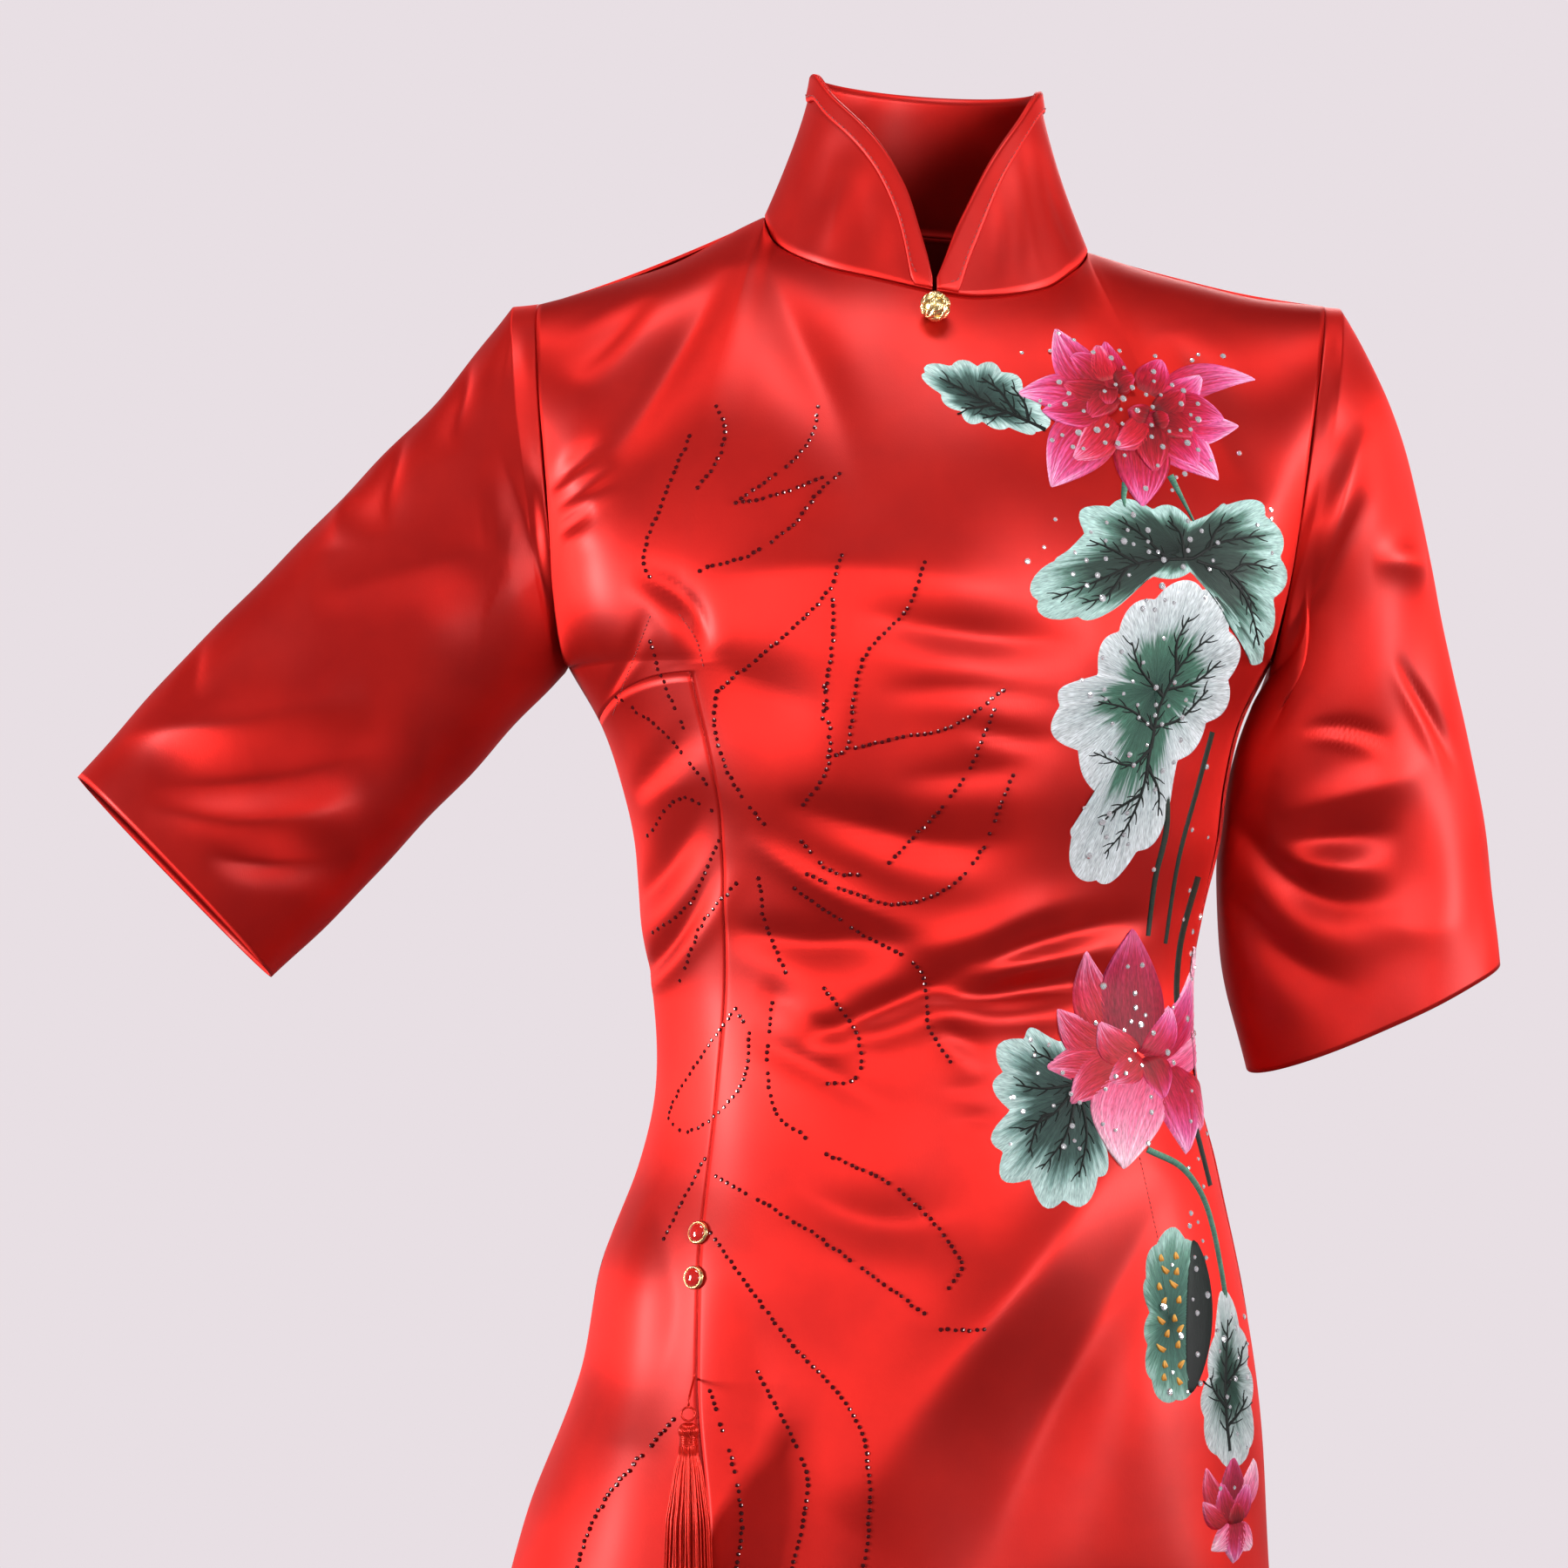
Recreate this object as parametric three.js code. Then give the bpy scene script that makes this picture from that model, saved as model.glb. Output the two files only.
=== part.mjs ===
// A worn qipao wedding dress of red satin, hollow: bodice and A-line skirt, two elbow sleeves,
// a standing collar open in a V, a woven ball button, two cabochon buttons and a tassel on the slit.
// Millimetres. X runs to the wearer's left, -Y is the front, +Z is up, and the origin lies between
// the two neck points of the shoulders, where the wearer carries the dress.
import * as THREE from 'three';

// ---- Driving sizes ----------------------------------------------------------------------------
const CLOTH = 1.8;            // satin with its backing, as one wall
const BINDING = 1.2;          // folded satin band on the collar
const SEAM = 0.3;             // gap left between two pieces that are sewn together
const CHEST = -212;           // level of the underarm points
const DART = -241;            // where the bust dart leaves the right side seam
const DART_RISE = 23;         // how much higher the dart ends, at the panel seam
const HEM = -1160;
const ROUNDNESS = 2.25;       // 2 is an ellipse, more is squarer

// Half rings of the bodice and skirt: the wearer's right and left side seams, how far the front and
// the back stand from the side seams, and the seam of the right side panel, which is the slit below.
const RINGS = [
  { z: -1160, right: -290, left: 212, front: 142, back: 146, seam: -118 },
  { z: -1040, right: -275, left: 202, front: 138, back: 142, seam: -116 },
  { z: -900, right: -254, left: 190, front: 132, back: 137, seam: -112 },
  { z: -760, right: -229, left: 178, front: 126, back: 132, seam: -108 },
  { z: -632, right: -196, left: 167, front: 119, back: 129, seam: -106 },
  { z: -561, right: -170, left: 162, front: 113, back: 126, seam: -112 },
  { z: -507, right: -160, left: 154, front: 107, back: 121, seam: -112 },
  { z: -460, right: -141, left: 144, front: 101, back: 110, seam: -108 },
  { z: -421, right: -132, left: 134, front: 96, back: 99, seam: -103 },
  { z: -375, right: -132, left: 131, front: 94, back: 93, seam: -99 },
  { z: -335, right: -138, left: 137, front: 99, back: 93, seam: -99 },
  { z: -301, right: -142, left: 145, front: 107, back: 94, seam: -100 },
  { z: -271, right: -150, left: 149, front: 116, back: 97, seam: -103 },
  { z: -241, right: -160, left: 156, front: 121, back: 101, seam: -110 },
  { z: -212, right: -175, left: 170, front: 124, back: 104, seam: -116 },
  { z: -185, right: -188, left: 183, front: 125, back: 107, seam: -120 },
];

// Neckline round the base of the neck: degrees from the centre front towards the left, and height.
const NECK_HALF_WIDTH = 80;
const NECK_HALF_DEPTH = 62;
const NECKLINE = [
  { turn: -180, z: 6 }, { turn: -135, z: 9 }, { turn: -90, z: 8.6 }, { turn: -68, z: -7 },
  { turn: -41, z: -20 }, { turn: -20, z: -27 }, { turn: 0, z: -33 }, { turn: 18, z: -36 },
  { turn: 45, z: -31 }, { turn: 64, z: -20 }, { turn: 90, z: -8.6 }, { turn: 135, z: 0 },
  { turn: 180, z: 6 },
];

// Each armhole: shoulder tip, underarm point, and how far the curve swings forwards, back and out.
const ARMHOLES = {
  right: {
    out: -1, tip: [-190, 3, -34], under: [-175, 0, CHEST], forwards: 56, backwards: 57, swing: 3.5,
  },
  left: {
    out: 1, tip: [195, -4, -36], under: [170, 0, CHEST], forwards: 56, backwards: 57, swing: 0,
  },
};
const SHOULDER_SAG = 3;

// Sleeve sections from the head to the cuff: the outer (upper) and inner (lower) points, the middle
// in y, half the depth, how far the front and back are swung outwards, and how far the front of the
// section reaches beyond its back.
const SLEEVES = {
  right: [
    { outX: -203, outZ: -36, inX: -181, inZ: -218, y: 1, depth: 57, swing: 3, lead: 0 },
    { outX: -215, outZ: -52, inX: -190, inZ: -228, y: 1, depth: 57, swing: 5, lead: 0 },
    { outX: -242, outZ: -84, inX: -207, inZ: -246, y: 1, depth: 56, swing: 4, lead: 0 },
    { outX: -277, outZ: -119, inX: -226, inZ: -267, y: 0, depth: 54, swing: 2, lead: 0 },
    { outX: -315, outZ: -158, inX: -248, inZ: -290, y: 0, depth: 51, swing: 0, lead: -1 },
    { outX: -350, outZ: -193, inX: -272, inZ: -316, y: -1, depth: 48, swing: 0, lead: -3 },
    { outX: -385, outZ: -230, inX: -297, inZ: -342, y: -1, depth: 45, swing: 0, lead: -4 },
    { outX: -418, outZ: -268, inX: -323, inZ: -366, y: -2, depth: 42, swing: 0, lead: -6 },
  ],
  left: [
    { outX: 203, outZ: -37, inX: 170, inZ: -219, y: 1, depth: 57, swing: 4, lead: 0 },
    { outX: 219, outZ: -67, inX: 162, inZ: -232, y: 4, depth: 57, swing: 7, lead: 0 },
    { outX: 232, outZ: -95, inX: 155.5, inZ: -249, y: 9, depth: 56, swing: 6, lead: 0 },
    { outX: 244, outZ: -134, inX: 151.5, inZ: -268, y: 15, depth: 54, swing: 4, lead: 0 },
    { outX: 256, outZ: -188, inX: 149, inZ: -290, y: 21, depth: 51, swing: 2, lead: 0 },
    { outX: 268, outZ: -236, inX: 146, inZ: -315, y: 27, depth: 48, swing: 0, lead: 1 },
    { outX: 279, outZ: -287, inX: 147, inZ: -345, y: 32, depth: 45, swing: 0, lead: 2 },
    { outX: 284, outZ: -327, inX: 152, inZ: -377, y: 34, depth: 43, swing: 0, lead: 4 },
    { outX: 287, outZ: -359, inX: 162, inZ: -414, y: 35, depth: 42, swing: 0, lead: 6 },
  ],
};

// Collar: the loop of its top edge, and how much of its full stand each place keeps in the V.
const COLLAR_TOP = { halfWidth: 56, front: 46, back: 48, y: -4, z: 74, tilt: -4 };
const COLLAR_WAIST = 1.35;     // more than 1 draws the stand in quickly above the neckline
const COLLAR_FROM = 2.6;       // degrees from the centre front, at the left foot of the V
const COLLAR_TO = 361;         // and at its right foot, after one turn round the neck
const COLLAR_STAND = [
  { turn: 2.6, part: 0.06 }, { turn: 12, part: 0.33 }, { turn: 30, part: 0.63 },
  { turn: 57, part: 0.87 }, { turn: 74, part: 0.97 }, { turn: 90, part: 1 }, { turn: 180, part: 1 },
  { turn: 270, part: 1 }, { turn: 286, part: 0.985 }, { turn: 304, part: 0.88 },
  { turn: 334, part: 0.68 }, { turn: 350.5, part: 0.45 }, { turn: 359, part: 0.17 },
  { turn: 361, part: 0.06 },
];
const BINDING_WIDTH = 11;
const COLLAR_RADIUS = 60;      // mean radius, to measure the slope of the free edge
const LEAST_BAND = 0.03;       // the least part of the stand between the foot, the band and the edge

// The largest folds of the front and the back: middle, half length along x and z, width, and depth
// (less than 0 for a ridge).
const FOLD_END = 1.4;          // half lengths from its middle at which a fold has died away
const SIDE_FADE = 40;          // folds die away over this distance from the side seams, in y
const FOLDS = {
  front: [
    { x: 10, z: -357, runX: 78, runZ: 7, width: 9, depth: 5 },
    { x: -16, z: -338, runX: 62, runZ: 14, width: 8, depth: -4 },
    { x: -40, z: -318, runX: 48, runZ: -22, width: 9, depth: 4 },
    { x: 20, z: -262, runX: 70, runZ: -3, width: 13, depth: 5 },
    { x: -118, z: -322, runX: 10, runZ: 44, width: 9, depth: 5 },
    { x: -12, z: -470, runX: 34, runZ: -4, width: 12, depth: 4 },
    { x: 96, z: -560, runX: 8, runZ: 110, width: 24, depth: 7 },
    { x: -145, z: -92, runX: 34, runZ: 34, width: 15, depth: 6 },
  ],
  back: [
    { x: 0, z: -372, runX: 74, runZ: 4, width: 10, depth: 5 },
    { x: 20, z: -338, runX: 60, runZ: -12, width: 10, depth: 4 },
    { x: -40, z: -408, runX: 50, runZ: 10, width: 10, depth: 4 },
  ],
};

// Soft flutes of the skirt: degrees round from the right side seam, width, and depth at the hem.
const FLUTE_TOP = -520;
const FLUTES = [
  { turn: 20, width: 13, depth: 9 }, { turn: 72, width: 12, depth: 8 },
  { turn: 128, width: 14, depth: 13 }, { turn: 163, width: 10, depth: 7 },
  { turn: 205, width: 14, depth: 11 }, { turn: 246, width: 13, depth: 9 },
  { turn: 288, width: 15, depth: 13 }, { turn: 328, width: 13, depth: 10 },
];

const SLIT = { top: -556, gap: 5, setBack: 11 };     // gap and set-back of the side panel, at the hem

// Grids of the pieces: columns across, and rows from the hem up in spans of even steps.
const FRONT = { columns: 28, neckFrom: 7, neckTo: 21, back: false };
const BACK = { columns: 24, neckFrom: 5, neckTo: 19, back: true };
const NECK_STEP = 180 / 14;    // degrees between two columns along the neckline, front and back
const SIDE_COLUMNS = 7;
const SPANS = [
  { to: -640, steps: 5 }, { to: -480, steps: 4 }, { to: -300, steps: 9 }, { to: DART, steps: 2 },
  { to: CHEST, steps: 1 },
];
const YOKE_ROWS = 9;
const SLEEVE_COLUMNS = 22;
const COLLAR_COLUMNS = 56;     // two to each column of the neckline

const NECK_BUTTON = { radius: 7.5, x: 1.5, z: -47 };
const CABOCHONS = [{ name: 'upper', x: -110.5, z: -486 }, { name: 'lower', x: -112.5, z: -507 }];
const CABOCHON = { radius: 5.1, bezel: 1.1, lip: 0.9, height: 3.4, base: 1, steps: 5 };
const TASSEL = {
  x: -115, top: -571.5, wrapFoot: -583, end: -668, wrapRadius: 4.6, chamfer: 1.4,
  sink: 1.4,                   // it hangs this much into the cloth's line, where the slit is set back
  loop: 3.2, loopWire: 0.9,
};
const TASSEL_REACH = [
  { z: -583.3, radius: 4.4 }, { z: -594, radius: 7.4 }, { z: -621, radius: 11.4 },
  { z: -660, radius: 13 }, { z: -668, radius: 12.2 },
];

// ---- Small helpers ----------------------------------------------------------------------------
const mix = (a, b, t) => a + (b - a) * t;
const clamp = (value) => Math.min(1, Math.max(0, value));
const ease = (t) => clamp(t) ** 2 * (3 - 2 * clamp(t));
const power = (value, exponent) => Math.sign(value) * Math.abs(value) ** exponent;
const radians = THREE.MathUtils.degToRad;
const vector = (array) => new THREE.Vector3(...array);

// The row of a table at one value of its first column: a cubic between rows whose slopes come from
// the rows on either side.
function rowAt(table, key, value) {
  let k = 0;
  while (k < table.length - 2 && value > table[k + 1][key]) k += 1;
  const [from, to] = [table[k], table[k + 1]];
  const before = table[Math.max(0, k - 1)];
  const after = table[Math.min(table.length - 1, k + 2)];
  const span = to[key] - from[key];
  const t = (value - from[key]) / span;
  const row = {};
  for (const name of Object.keys(from)) {
    const slopeFrom = (to[name] - before[name]) / (to[key] - before[key]);
    const slopeTo = (after[name] - from[name]) / (after[key] - from[key]);
    row[name] = (2 * t ** 3 - 3 * t ** 2 + 1) * from[name] + (t ** 3 - 2 * t ** 2 + t) * span * slopeFrom
      + (3 * t ** 2 - 2 * t ** 3) * to[name] + (t ** 3 - t ** 2) * span * slopeTo;
  }
  return row;
}

// ---- Bodice and skirt -------------------------------------------------------------------------
function foldDepth(x, z, back) {
  let depth = 0;
  for (const fold of back ? FOLDS.back : FOLDS.front) {
    const length = Math.hypot(fold.runX, fold.runZ);
    const along = ((x - fold.x) * fold.runX + (z - fold.z) * fold.runZ) / length ** 2;
    const across = ((x - fold.x) * fold.runZ - (z - fold.z) * fold.runX) / length;
    depth += fold.depth * Math.exp(-((across / fold.width) ** 2)) * ease(FOLD_END - Math.abs(along));
  }
  return depth;
}

function fluteDepth(turn, z) {
  const share = ease((FLUTE_TOP - z) / (FLUTE_TOP - HEM));
  let depth = 0;
  for (const flute of FLUTES) {
    const away = THREE.MathUtils.euclideanModulo(turn / radians(1) - flute.turn + 180, 360) - 180;
    depth += flute.depth * share * Math.exp(-((away / flute.width) ** 2));
  }
  return depth;
}

// A point of the ring at one level: turn 0 is the right side seam, 90 degrees the centre front.
function ringPoint(turn, z) {
  const ring = rowAt(RINGS, 'z', z);
  const half = (ring.left - ring.right) / 2;
  const centre = (ring.left + ring.right) / 2;
  const back = Math.sin(turn) < 0;
  const deep = back ? ring.back : ring.front;
  const x = centre - half * power(Math.cos(turn), 2 / ROUNDNESS);
  const y = -deep * power(Math.sin(turn), 2 / ROUNDNESS);
  const outwards = new THREE.Vector3((x - centre) / half ** 2, y / deep ** 2, 0).normalize();
  const depth = foldDepth(x, z, back) * clamp(Math.abs(y) / SIDE_FADE) + fluteDepth(turn, z);
  return new THREE.Vector3(x, y, z).addScaledVector(outwards, -depth);
}

function turnAtX(x, z) {
  const ring = rowAt(RINGS, 'z', z);
  const half = (ring.left - ring.right) / 2;
  return Math.acos(power(((ring.left + ring.right) / 2 - x) / half, ROUNDNESS / 2));
}

// Columns of the front are shared by the side panel (0 to 7) and the centre panel (7 to 28).
function turnAtColumn(face, column, z) {
  if (face.back) return Math.PI * (1 + column / face.columns);
  const seam = turnAtX(rowAt(RINGS, 'z', z).seam, z);
  if (column <= SIDE_COLUMNS) return seam * column / SIDE_COLUMNS;
  return mix(seam, Math.PI, (column - SIDE_COLUMNS) / (face.columns - SIDE_COLUMNS));
}

// The neckline runs straight between its stations, so that body and collar meet edge to edge.
function neckPoint(degrees) {
  const station = Math.floor(degrees / NECK_STEP);
  const [from, to] = [station, station + 1].map((k) => {
    const turn = radians(k * NECK_STEP);
    const signed = THREE.MathUtils.euclideanModulo(k * NECK_STEP + 180, 360) - 180;
    return new THREE.Vector3(NECK_HALF_WIDTH * Math.sin(turn), -NECK_HALF_DEPTH * Math.cos(turn),
      rowAt(NECKLINE, 'turn', signed).z);
  });
  return from.lerp(to, degrees / NECK_STEP - station);
}

function armholePoint(side, turn) {
  const { out, tip, under, forwards, backwards, swing } = ARMHOLES[side];
  const rise = (1 + Math.cos(turn)) / 2;
  const reach = Math.sin(turn) > 0 ? forwards : backwards;
  return new THREE.Vector3(
    mix(under[0], tip[0], rise) + out * swing * Math.abs(Math.sin(turn)),
    mix(under[1], tip[1], rise) - reach * Math.sin(turn),
    mix(under[2], tip[2], rise));
}

// Shoulder seam and neckline along the top of a face.
function topPoint(face, column) {
  const fromSide = face.back ? 'left' : 'right';
  const toSide = face.back ? 'right' : 'left';
  const neckStart = face.back ? 90 : -90;
  const along = (column - face.neckFrom) / (face.neckTo - face.neckFrom);
  if (along >= 0 && along <= 1) return neckPoint(neckStart + 180 * along);
  const side = along < 0 ? fromSide : toSide;
  const run = along < 0 ? column / face.neckFrom
    : (face.columns - column) / (face.columns - face.neckTo);
  const point = vector(ARMHOLES[side].tip).lerp(neckPoint(along < 0 ? neckStart : neckStart + 180), run);
  point.z -= SHOULDER_SAG * Math.sin(Math.PI * run);
  return point;
}

// How the cloth arrives at the shoulder seam and at the neckline (lean in y, rise in z, and how hard
// it pulls), and the share of the width over which the neck, and each armhole, shapes it.
const YOKE = { lean: 0.97, rise: 0.25, neckLean: 0.66, neckRise: 0.75, pull: 0.95, reach: 0.34 };

// The cloth from the chest ring to the shoulder seam and neckline: each column is a cubic, and near
// the armholes it is drawn out to their curve.
function yokePoint(face, column, v) {
  const way = face.back ? -1 : 1;
  const hermite = (at) => {
    const turn = turnAtColumn(face, at, CHEST);
    const foot = ringPoint(turn, CHEST);
    const slope = ringPoint(turn, CHEST + 2).sub(ringPoint(turn, CHEST - 2)).multiplyScalar(1 / 4);
    const head = topPoint(face, at);
    const rise = head.z - foot.z;
    const neck = ease(1 - Math.abs(at / face.columns - 0.5) / YOKE.reach);
    const over = new THREE.Vector3(0, way * mix(YOKE.lean, YOKE.neckLean, neck),
      mix(YOKE.rise, YOKE.neckRise, neck)).multiplyScalar(rise * YOKE.pull);
    return foot.multiplyScalar(2 * v ** 3 - 3 * v ** 2 + 1)
      .addScaledVector(slope, (v ** 3 - 2 * v ** 2 + v) * rise)
      .addScaledVector(head, 3 * v ** 2 - 2 * v ** 3)
      .addScaledVector(over, v ** 3 - v ** 2);
  };
  const point = hermite(column);
  for (const [side, edge, away] of [
    [face.back ? 'left' : 'right', 0, column],
    [face.back ? 'right' : 'left', face.columns, face.columns - column],
  ]) {
    const turn = Math.PI * (1 - v) * way;
    const hold = 1 - ease(away / face.columns / YOKE.reach);
    point.addScaledVector(armholePoint(side, turn).sub(hermite(edge)), hold);
  }
  point.y += way * foldDepth(point.x, point.z, face.back) * Math.sin(Math.PI * v) ** 2;
  return point;
}

const LEVELS = [HEM];
for (const span of SPANS) {
  const from = LEVELS.at(-1);
  for (let step = 1; step <= span.steps; step += 1) LEVELS.push(mix(from, span.to, step / span.steps));
}
const CHEST_ROW = LEVELS.length - 1;
const DART_ROW = CHEST_ROW - 1;
const FACE_ROWS = CHEST_ROW + YOKE_ROWS;

function facePoint(face, column, row) {
  if (row > CHEST_ROW) return yokePoint(face, column, (row - CHEST_ROW) / YOKE_ROWS);
  const below = Math.min(CHEST_ROW - 1, Math.floor(row));
  let z = mix(LEVELS[below], LEVELS[below + 1], row - below);
  if (!face.back) {
    const near = ease(1 - Math.abs(column - SIDE_COLUMNS) / SIDE_COLUMNS);
    z += DART_RISE * near * clamp(1 - Math.abs(row - DART_ROW));
  }
  return ringPoint(turnAtColumn(face, column, z), z);
}

// ---- Cloth walls ------------------------------------------------------------------------------
// A grid of points with the unit directions along its columns and rows, and the way out of the cloth.
// Both directions are differences between the places that rowStep and columnStep give.
function sampleGrid({ columns, rows, point, rowStep, columnStep, wrap = false }) {
  const nodes = [];
  for (let row = 0; row <= rows; row += 1) {
    nodes.push([]);
    for (let column = 0; column <= (wrap ? columns - 1 : columns); column += 1) {
      const [low, high] = rowStep(row);
      const [left, right] = columnStep(column, row);
      const across = point(right, row).sub(point(left, row)).normalize();
      const up = point(column, high).sub(point(column, low)).normalize();
      nodes[row].push({ at: point(column, row), across, up, out: across.clone().cross(up).normalize() });
    }
  }
  return nodes;
}

// The closed wall on a grid: outer face, inner face, and a strip along every free edge.
function wallGeometry(nodes, thickness, { holds = () => true, wrap = false, raise = 0 } = {}) {
  const rows = nodes.length;
  const columns = nodes[0].length;
  const positions = [];
  for (const depth of [raise, raise - thickness]) {
    for (const row of nodes) {
      for (const node of row) positions.push(...node.at.clone().addScaledVector(node.out, depth).toArray());
    }
  }
  const outer = [];
  for (let row = 0; row < rows - 1; row += 1) {
    for (let column = 0; column < (wrap ? columns : columns - 1); column += 1) {
      if (!holds(column, row)) continue;
      const next = (column + 1) % columns;
      const [a, b] = [row * columns + column, row * columns + next];
      const [c, d] = [a + columns, b + columns];
      outer.push([a, b, d], [a, d, c]);
    }
  }
  const edges = new Set();
  for (const [a, b, c] of outer) [[a, b], [b, c], [c, a]].forEach(([p, q]) => edges.add(`${p},${q}`));
  const inner = rows * columns;
  const index = [];
  for (const [a, b, c] of outer) index.push(a, b, c, a + inner, c + inner, b + inner);
  for (const edge of edges) {
    const [p, q] = edge.split(',').map(Number);
    if (!edges.has(`${q},${p}`)) index.push(q, p, p + inner, q, p + inner, q + inner);
  }
  const used = [...new Set(index)];
  const place = new Map(used.map((old, fresh) => [old, fresh]));
  const geometry = new THREE.BufferGeometry();
  geometry.setAttribute('position', new THREE.Float32BufferAttribute(
    used.flatMap((old) => positions.slice(3 * old, 3 * old + 3)), 3));
  geometry.setIndex(index.map((old) => place.get(old)));
  return geometry;
}

// Steps either way from a place, kept between two ends.
const within = (place, least, most, step) => [Math.max(least, place - step), Math.min(most, place + step)];
const FINE = 0.02;             // a small part of one row or column

// Below the chest the rings run on past a face's side seams; the yoke ends at its armholes.
function faceGrid(face) {
  const nodes = sampleGrid({
    columns: face.columns,
    rows: FACE_ROWS,
    point: (column, row) => facePoint(face, column, row),
    rowStep: (row) => within(row, 0, row === CHEST_ROW ? CHEST_ROW : FACE_ROWS, FINE),
    columnStep: (column, row) => (row <= CHEST_ROW ? [column - FINE, column + FINE]
      : within(column, 0, face.columns, FINE)),
  });
  const shoulder = nodes[FACE_ROWS];
  shoulder.forEach((node, column) => {
    if (column > face.neckFrom && column < face.neckTo) return;
    const [left, right] = column <= face.neckFrom ? [column, column + FINE] : [column - FINE, column];
    const run = topPoint(face, right).sub(topPoint(face, left));
    node.out.set(-run.z * Math.sign(run.x), 0, Math.abs(run.x)).normalize();
    node.at.y += (face.back ? 1 : -1) * SEAM / 2;
  });
  return nodes;
}

// Moves the edge of a panel back from its seam, along the cloth.
function trimColumn(nodes, column, fromRow, toRow, distance) {
  for (let row = fromRow; row <= toRow; row += 1) {
    const node = nodes[row][column];
    const amount = typeof distance === 'function' ? distance(node) : distance;
    node.at = node.at.clone().addScaledVector(node.across, amount);
  }
}

function slitShare(z) {
  return clamp((SLIT.top - z) / (SLIT.top - HEM));
}

function centrePanel() {
  const nodes = faceGrid(FRONT);
  trimColumn(nodes, 0, DART_ROW + 1, CHEST_ROW, SEAM / 2);
  trimColumn(nodes, FRONT.columns, 0, CHEST_ROW, -SEAM / 2);
  trimColumn(nodes, SIDE_COLUMNS, 0, DART_ROW,
    (node) => SEAM / 2 + SLIT.gap / 2 * slitShare(node.at.z));
  for (let column = 0; column <= SIDE_COLUMNS; column += 1) {
    const node = nodes[DART_ROW][column];
    node.at = node.at.clone().addScaledVector(node.up, SEAM / 2);
  }
  nodes[DART_ROW][0].at.addScaledVector(nodes[DART_ROW][0].across, SEAM / 2);
  return wallGeometry(nodes, CLOTH, {
    holds: (column, row) => column >= SIDE_COLUMNS || row >= DART_ROW,
  });
}

// The side panel goes a little under the centre panel at the slit.
function sidePanel() {
  const nodes = faceGrid(FRONT);
  const bend = 2;              // the column from which it bends inwards
  for (let row = 0; row < DART_ROW; row += 1) {
    for (let column = 0; column <= SIDE_COLUMNS; column += 1) {
      const node = nodes[row][column];
      const back = SLIT.setBack * slitShare(node.at.z) * ease((column - bend) / (SIDE_COLUMNS - bend));
      node.at.addScaledVector(node.out, -back);
    }
  }
  trimColumn(nodes, 0, 0, DART_ROW, SEAM / 2);
  trimColumn(nodes, SIDE_COLUMNS, 0, DART_ROW,
    (node) => -SEAM / 2 - SLIT.gap / 2 * slitShare(node.at.z));
  for (let column = 0; column <= SIDE_COLUMNS; column += 1) {
    const node = nodes[DART_ROW][column];
    node.at.addScaledVector(node.up, -SEAM / 2);
  }
  return wallGeometry(nodes, CLOTH, {
    holds: (column, row) => column < SIDE_COLUMNS && row < DART_ROW,
  });
}

function backPanel() {
  const nodes = faceGrid(BACK);
  trimColumn(nodes, 0, 0, CHEST_ROW, SEAM / 2);
  trimColumn(nodes, BACK.columns, 0, CHEST_ROW, -SEAM / 2);
  return wallGeometry(nodes, CLOTH);
}

// ---- Sleeves ----------------------------------------------------------------------------------
// Turn 0 is the outer line of the sleeve, 90 degrees its front.
function sleevePoint(side, turn, row) {
  const sections = SLEEVES[side];
  const { out } = ARMHOLES[side];
  const sectionPoint = (k) => {
    if (k === 0) return armholePoint(side, turn).setX(armholePoint(side, turn).x + out * SEAM);
    const { outX, outZ, inX, inZ, y, depth, swing, lead } = sections[k - 1];
    const along = power(Math.cos(turn), 2 / ROUNDNESS);
    const deep = power(Math.sin(turn), 2 / ROUNDNESS);
    const length = Math.hypot(outX - inX, outZ - inZ);
    const axis = new THREE.Vector3(out * Math.abs(outZ - inZ), 0, -Math.abs(outX - inX));
    const x = (outX + inX) / 2 + along * (outX - inX) / 2 + out * swing * Math.abs(Math.sin(turn));
    return new THREE.Vector3(x, y - deep * depth,
      (outZ + inZ) / 2 + along * (outZ - inZ) / 2).addScaledVector(axis, lead * deep / length);
  };
  const k = Math.min(sections.length - 1, Math.floor(row));
  return sectionPoint(k).lerp(sectionPoint(k + 1), row - k);
}

function sleeve(side) {
  const rows = SLEEVES[side].length;
  const way = -ARMHOLES[side].out;
  const nodes = sampleGrid({
    columns: SLEEVE_COLUMNS,
    rows,
    wrap: true,
    point: (column, row) => sleevePoint(side, -way * 2 * Math.PI * column / SLEEVE_COLUMNS, row),
    rowStep: (row) => within(row, 0, rows, 0.5),
    columnStep: (column) => [column - FINE, column + FINE],
  });
  return wallGeometry(nodes, CLOTH, { wrap: true });
}

// ---- Collar -----------------------------------------------------------------------------------
function collarPoint(degrees, part) {
  const turn = radians(degrees);
  const foot = neckPoint(degrees);
  foot.z += SEAM;
  const { halfWidth, front, back, y, z, tilt } = COLLAR_TOP;
  const deep = Math.cos(turn) > 0 ? front : back;
  const head = new THREE.Vector3(halfWidth * Math.sin(turn), y - deep * Math.cos(turn),
    z + tilt * Math.sin(turn));
  const width = 1 - (1 - part) ** COLLAR_WAIST;
  return new THREE.Vector3(mix(foot.x, head.x, width), mix(foot.y, head.y, width),
    mix(foot.z, head.z, part));
}

function collarDegrees(column) {
  if (column <= 1) return mix(COLLAR_FROM, NECK_STEP, column);
  const last = COLLAR_COLUMNS - 1;
  if (column >= last) return mix(360, COLLAR_TO, column - last);
  return (column + 1) * NECK_STEP / 2;
}

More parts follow.
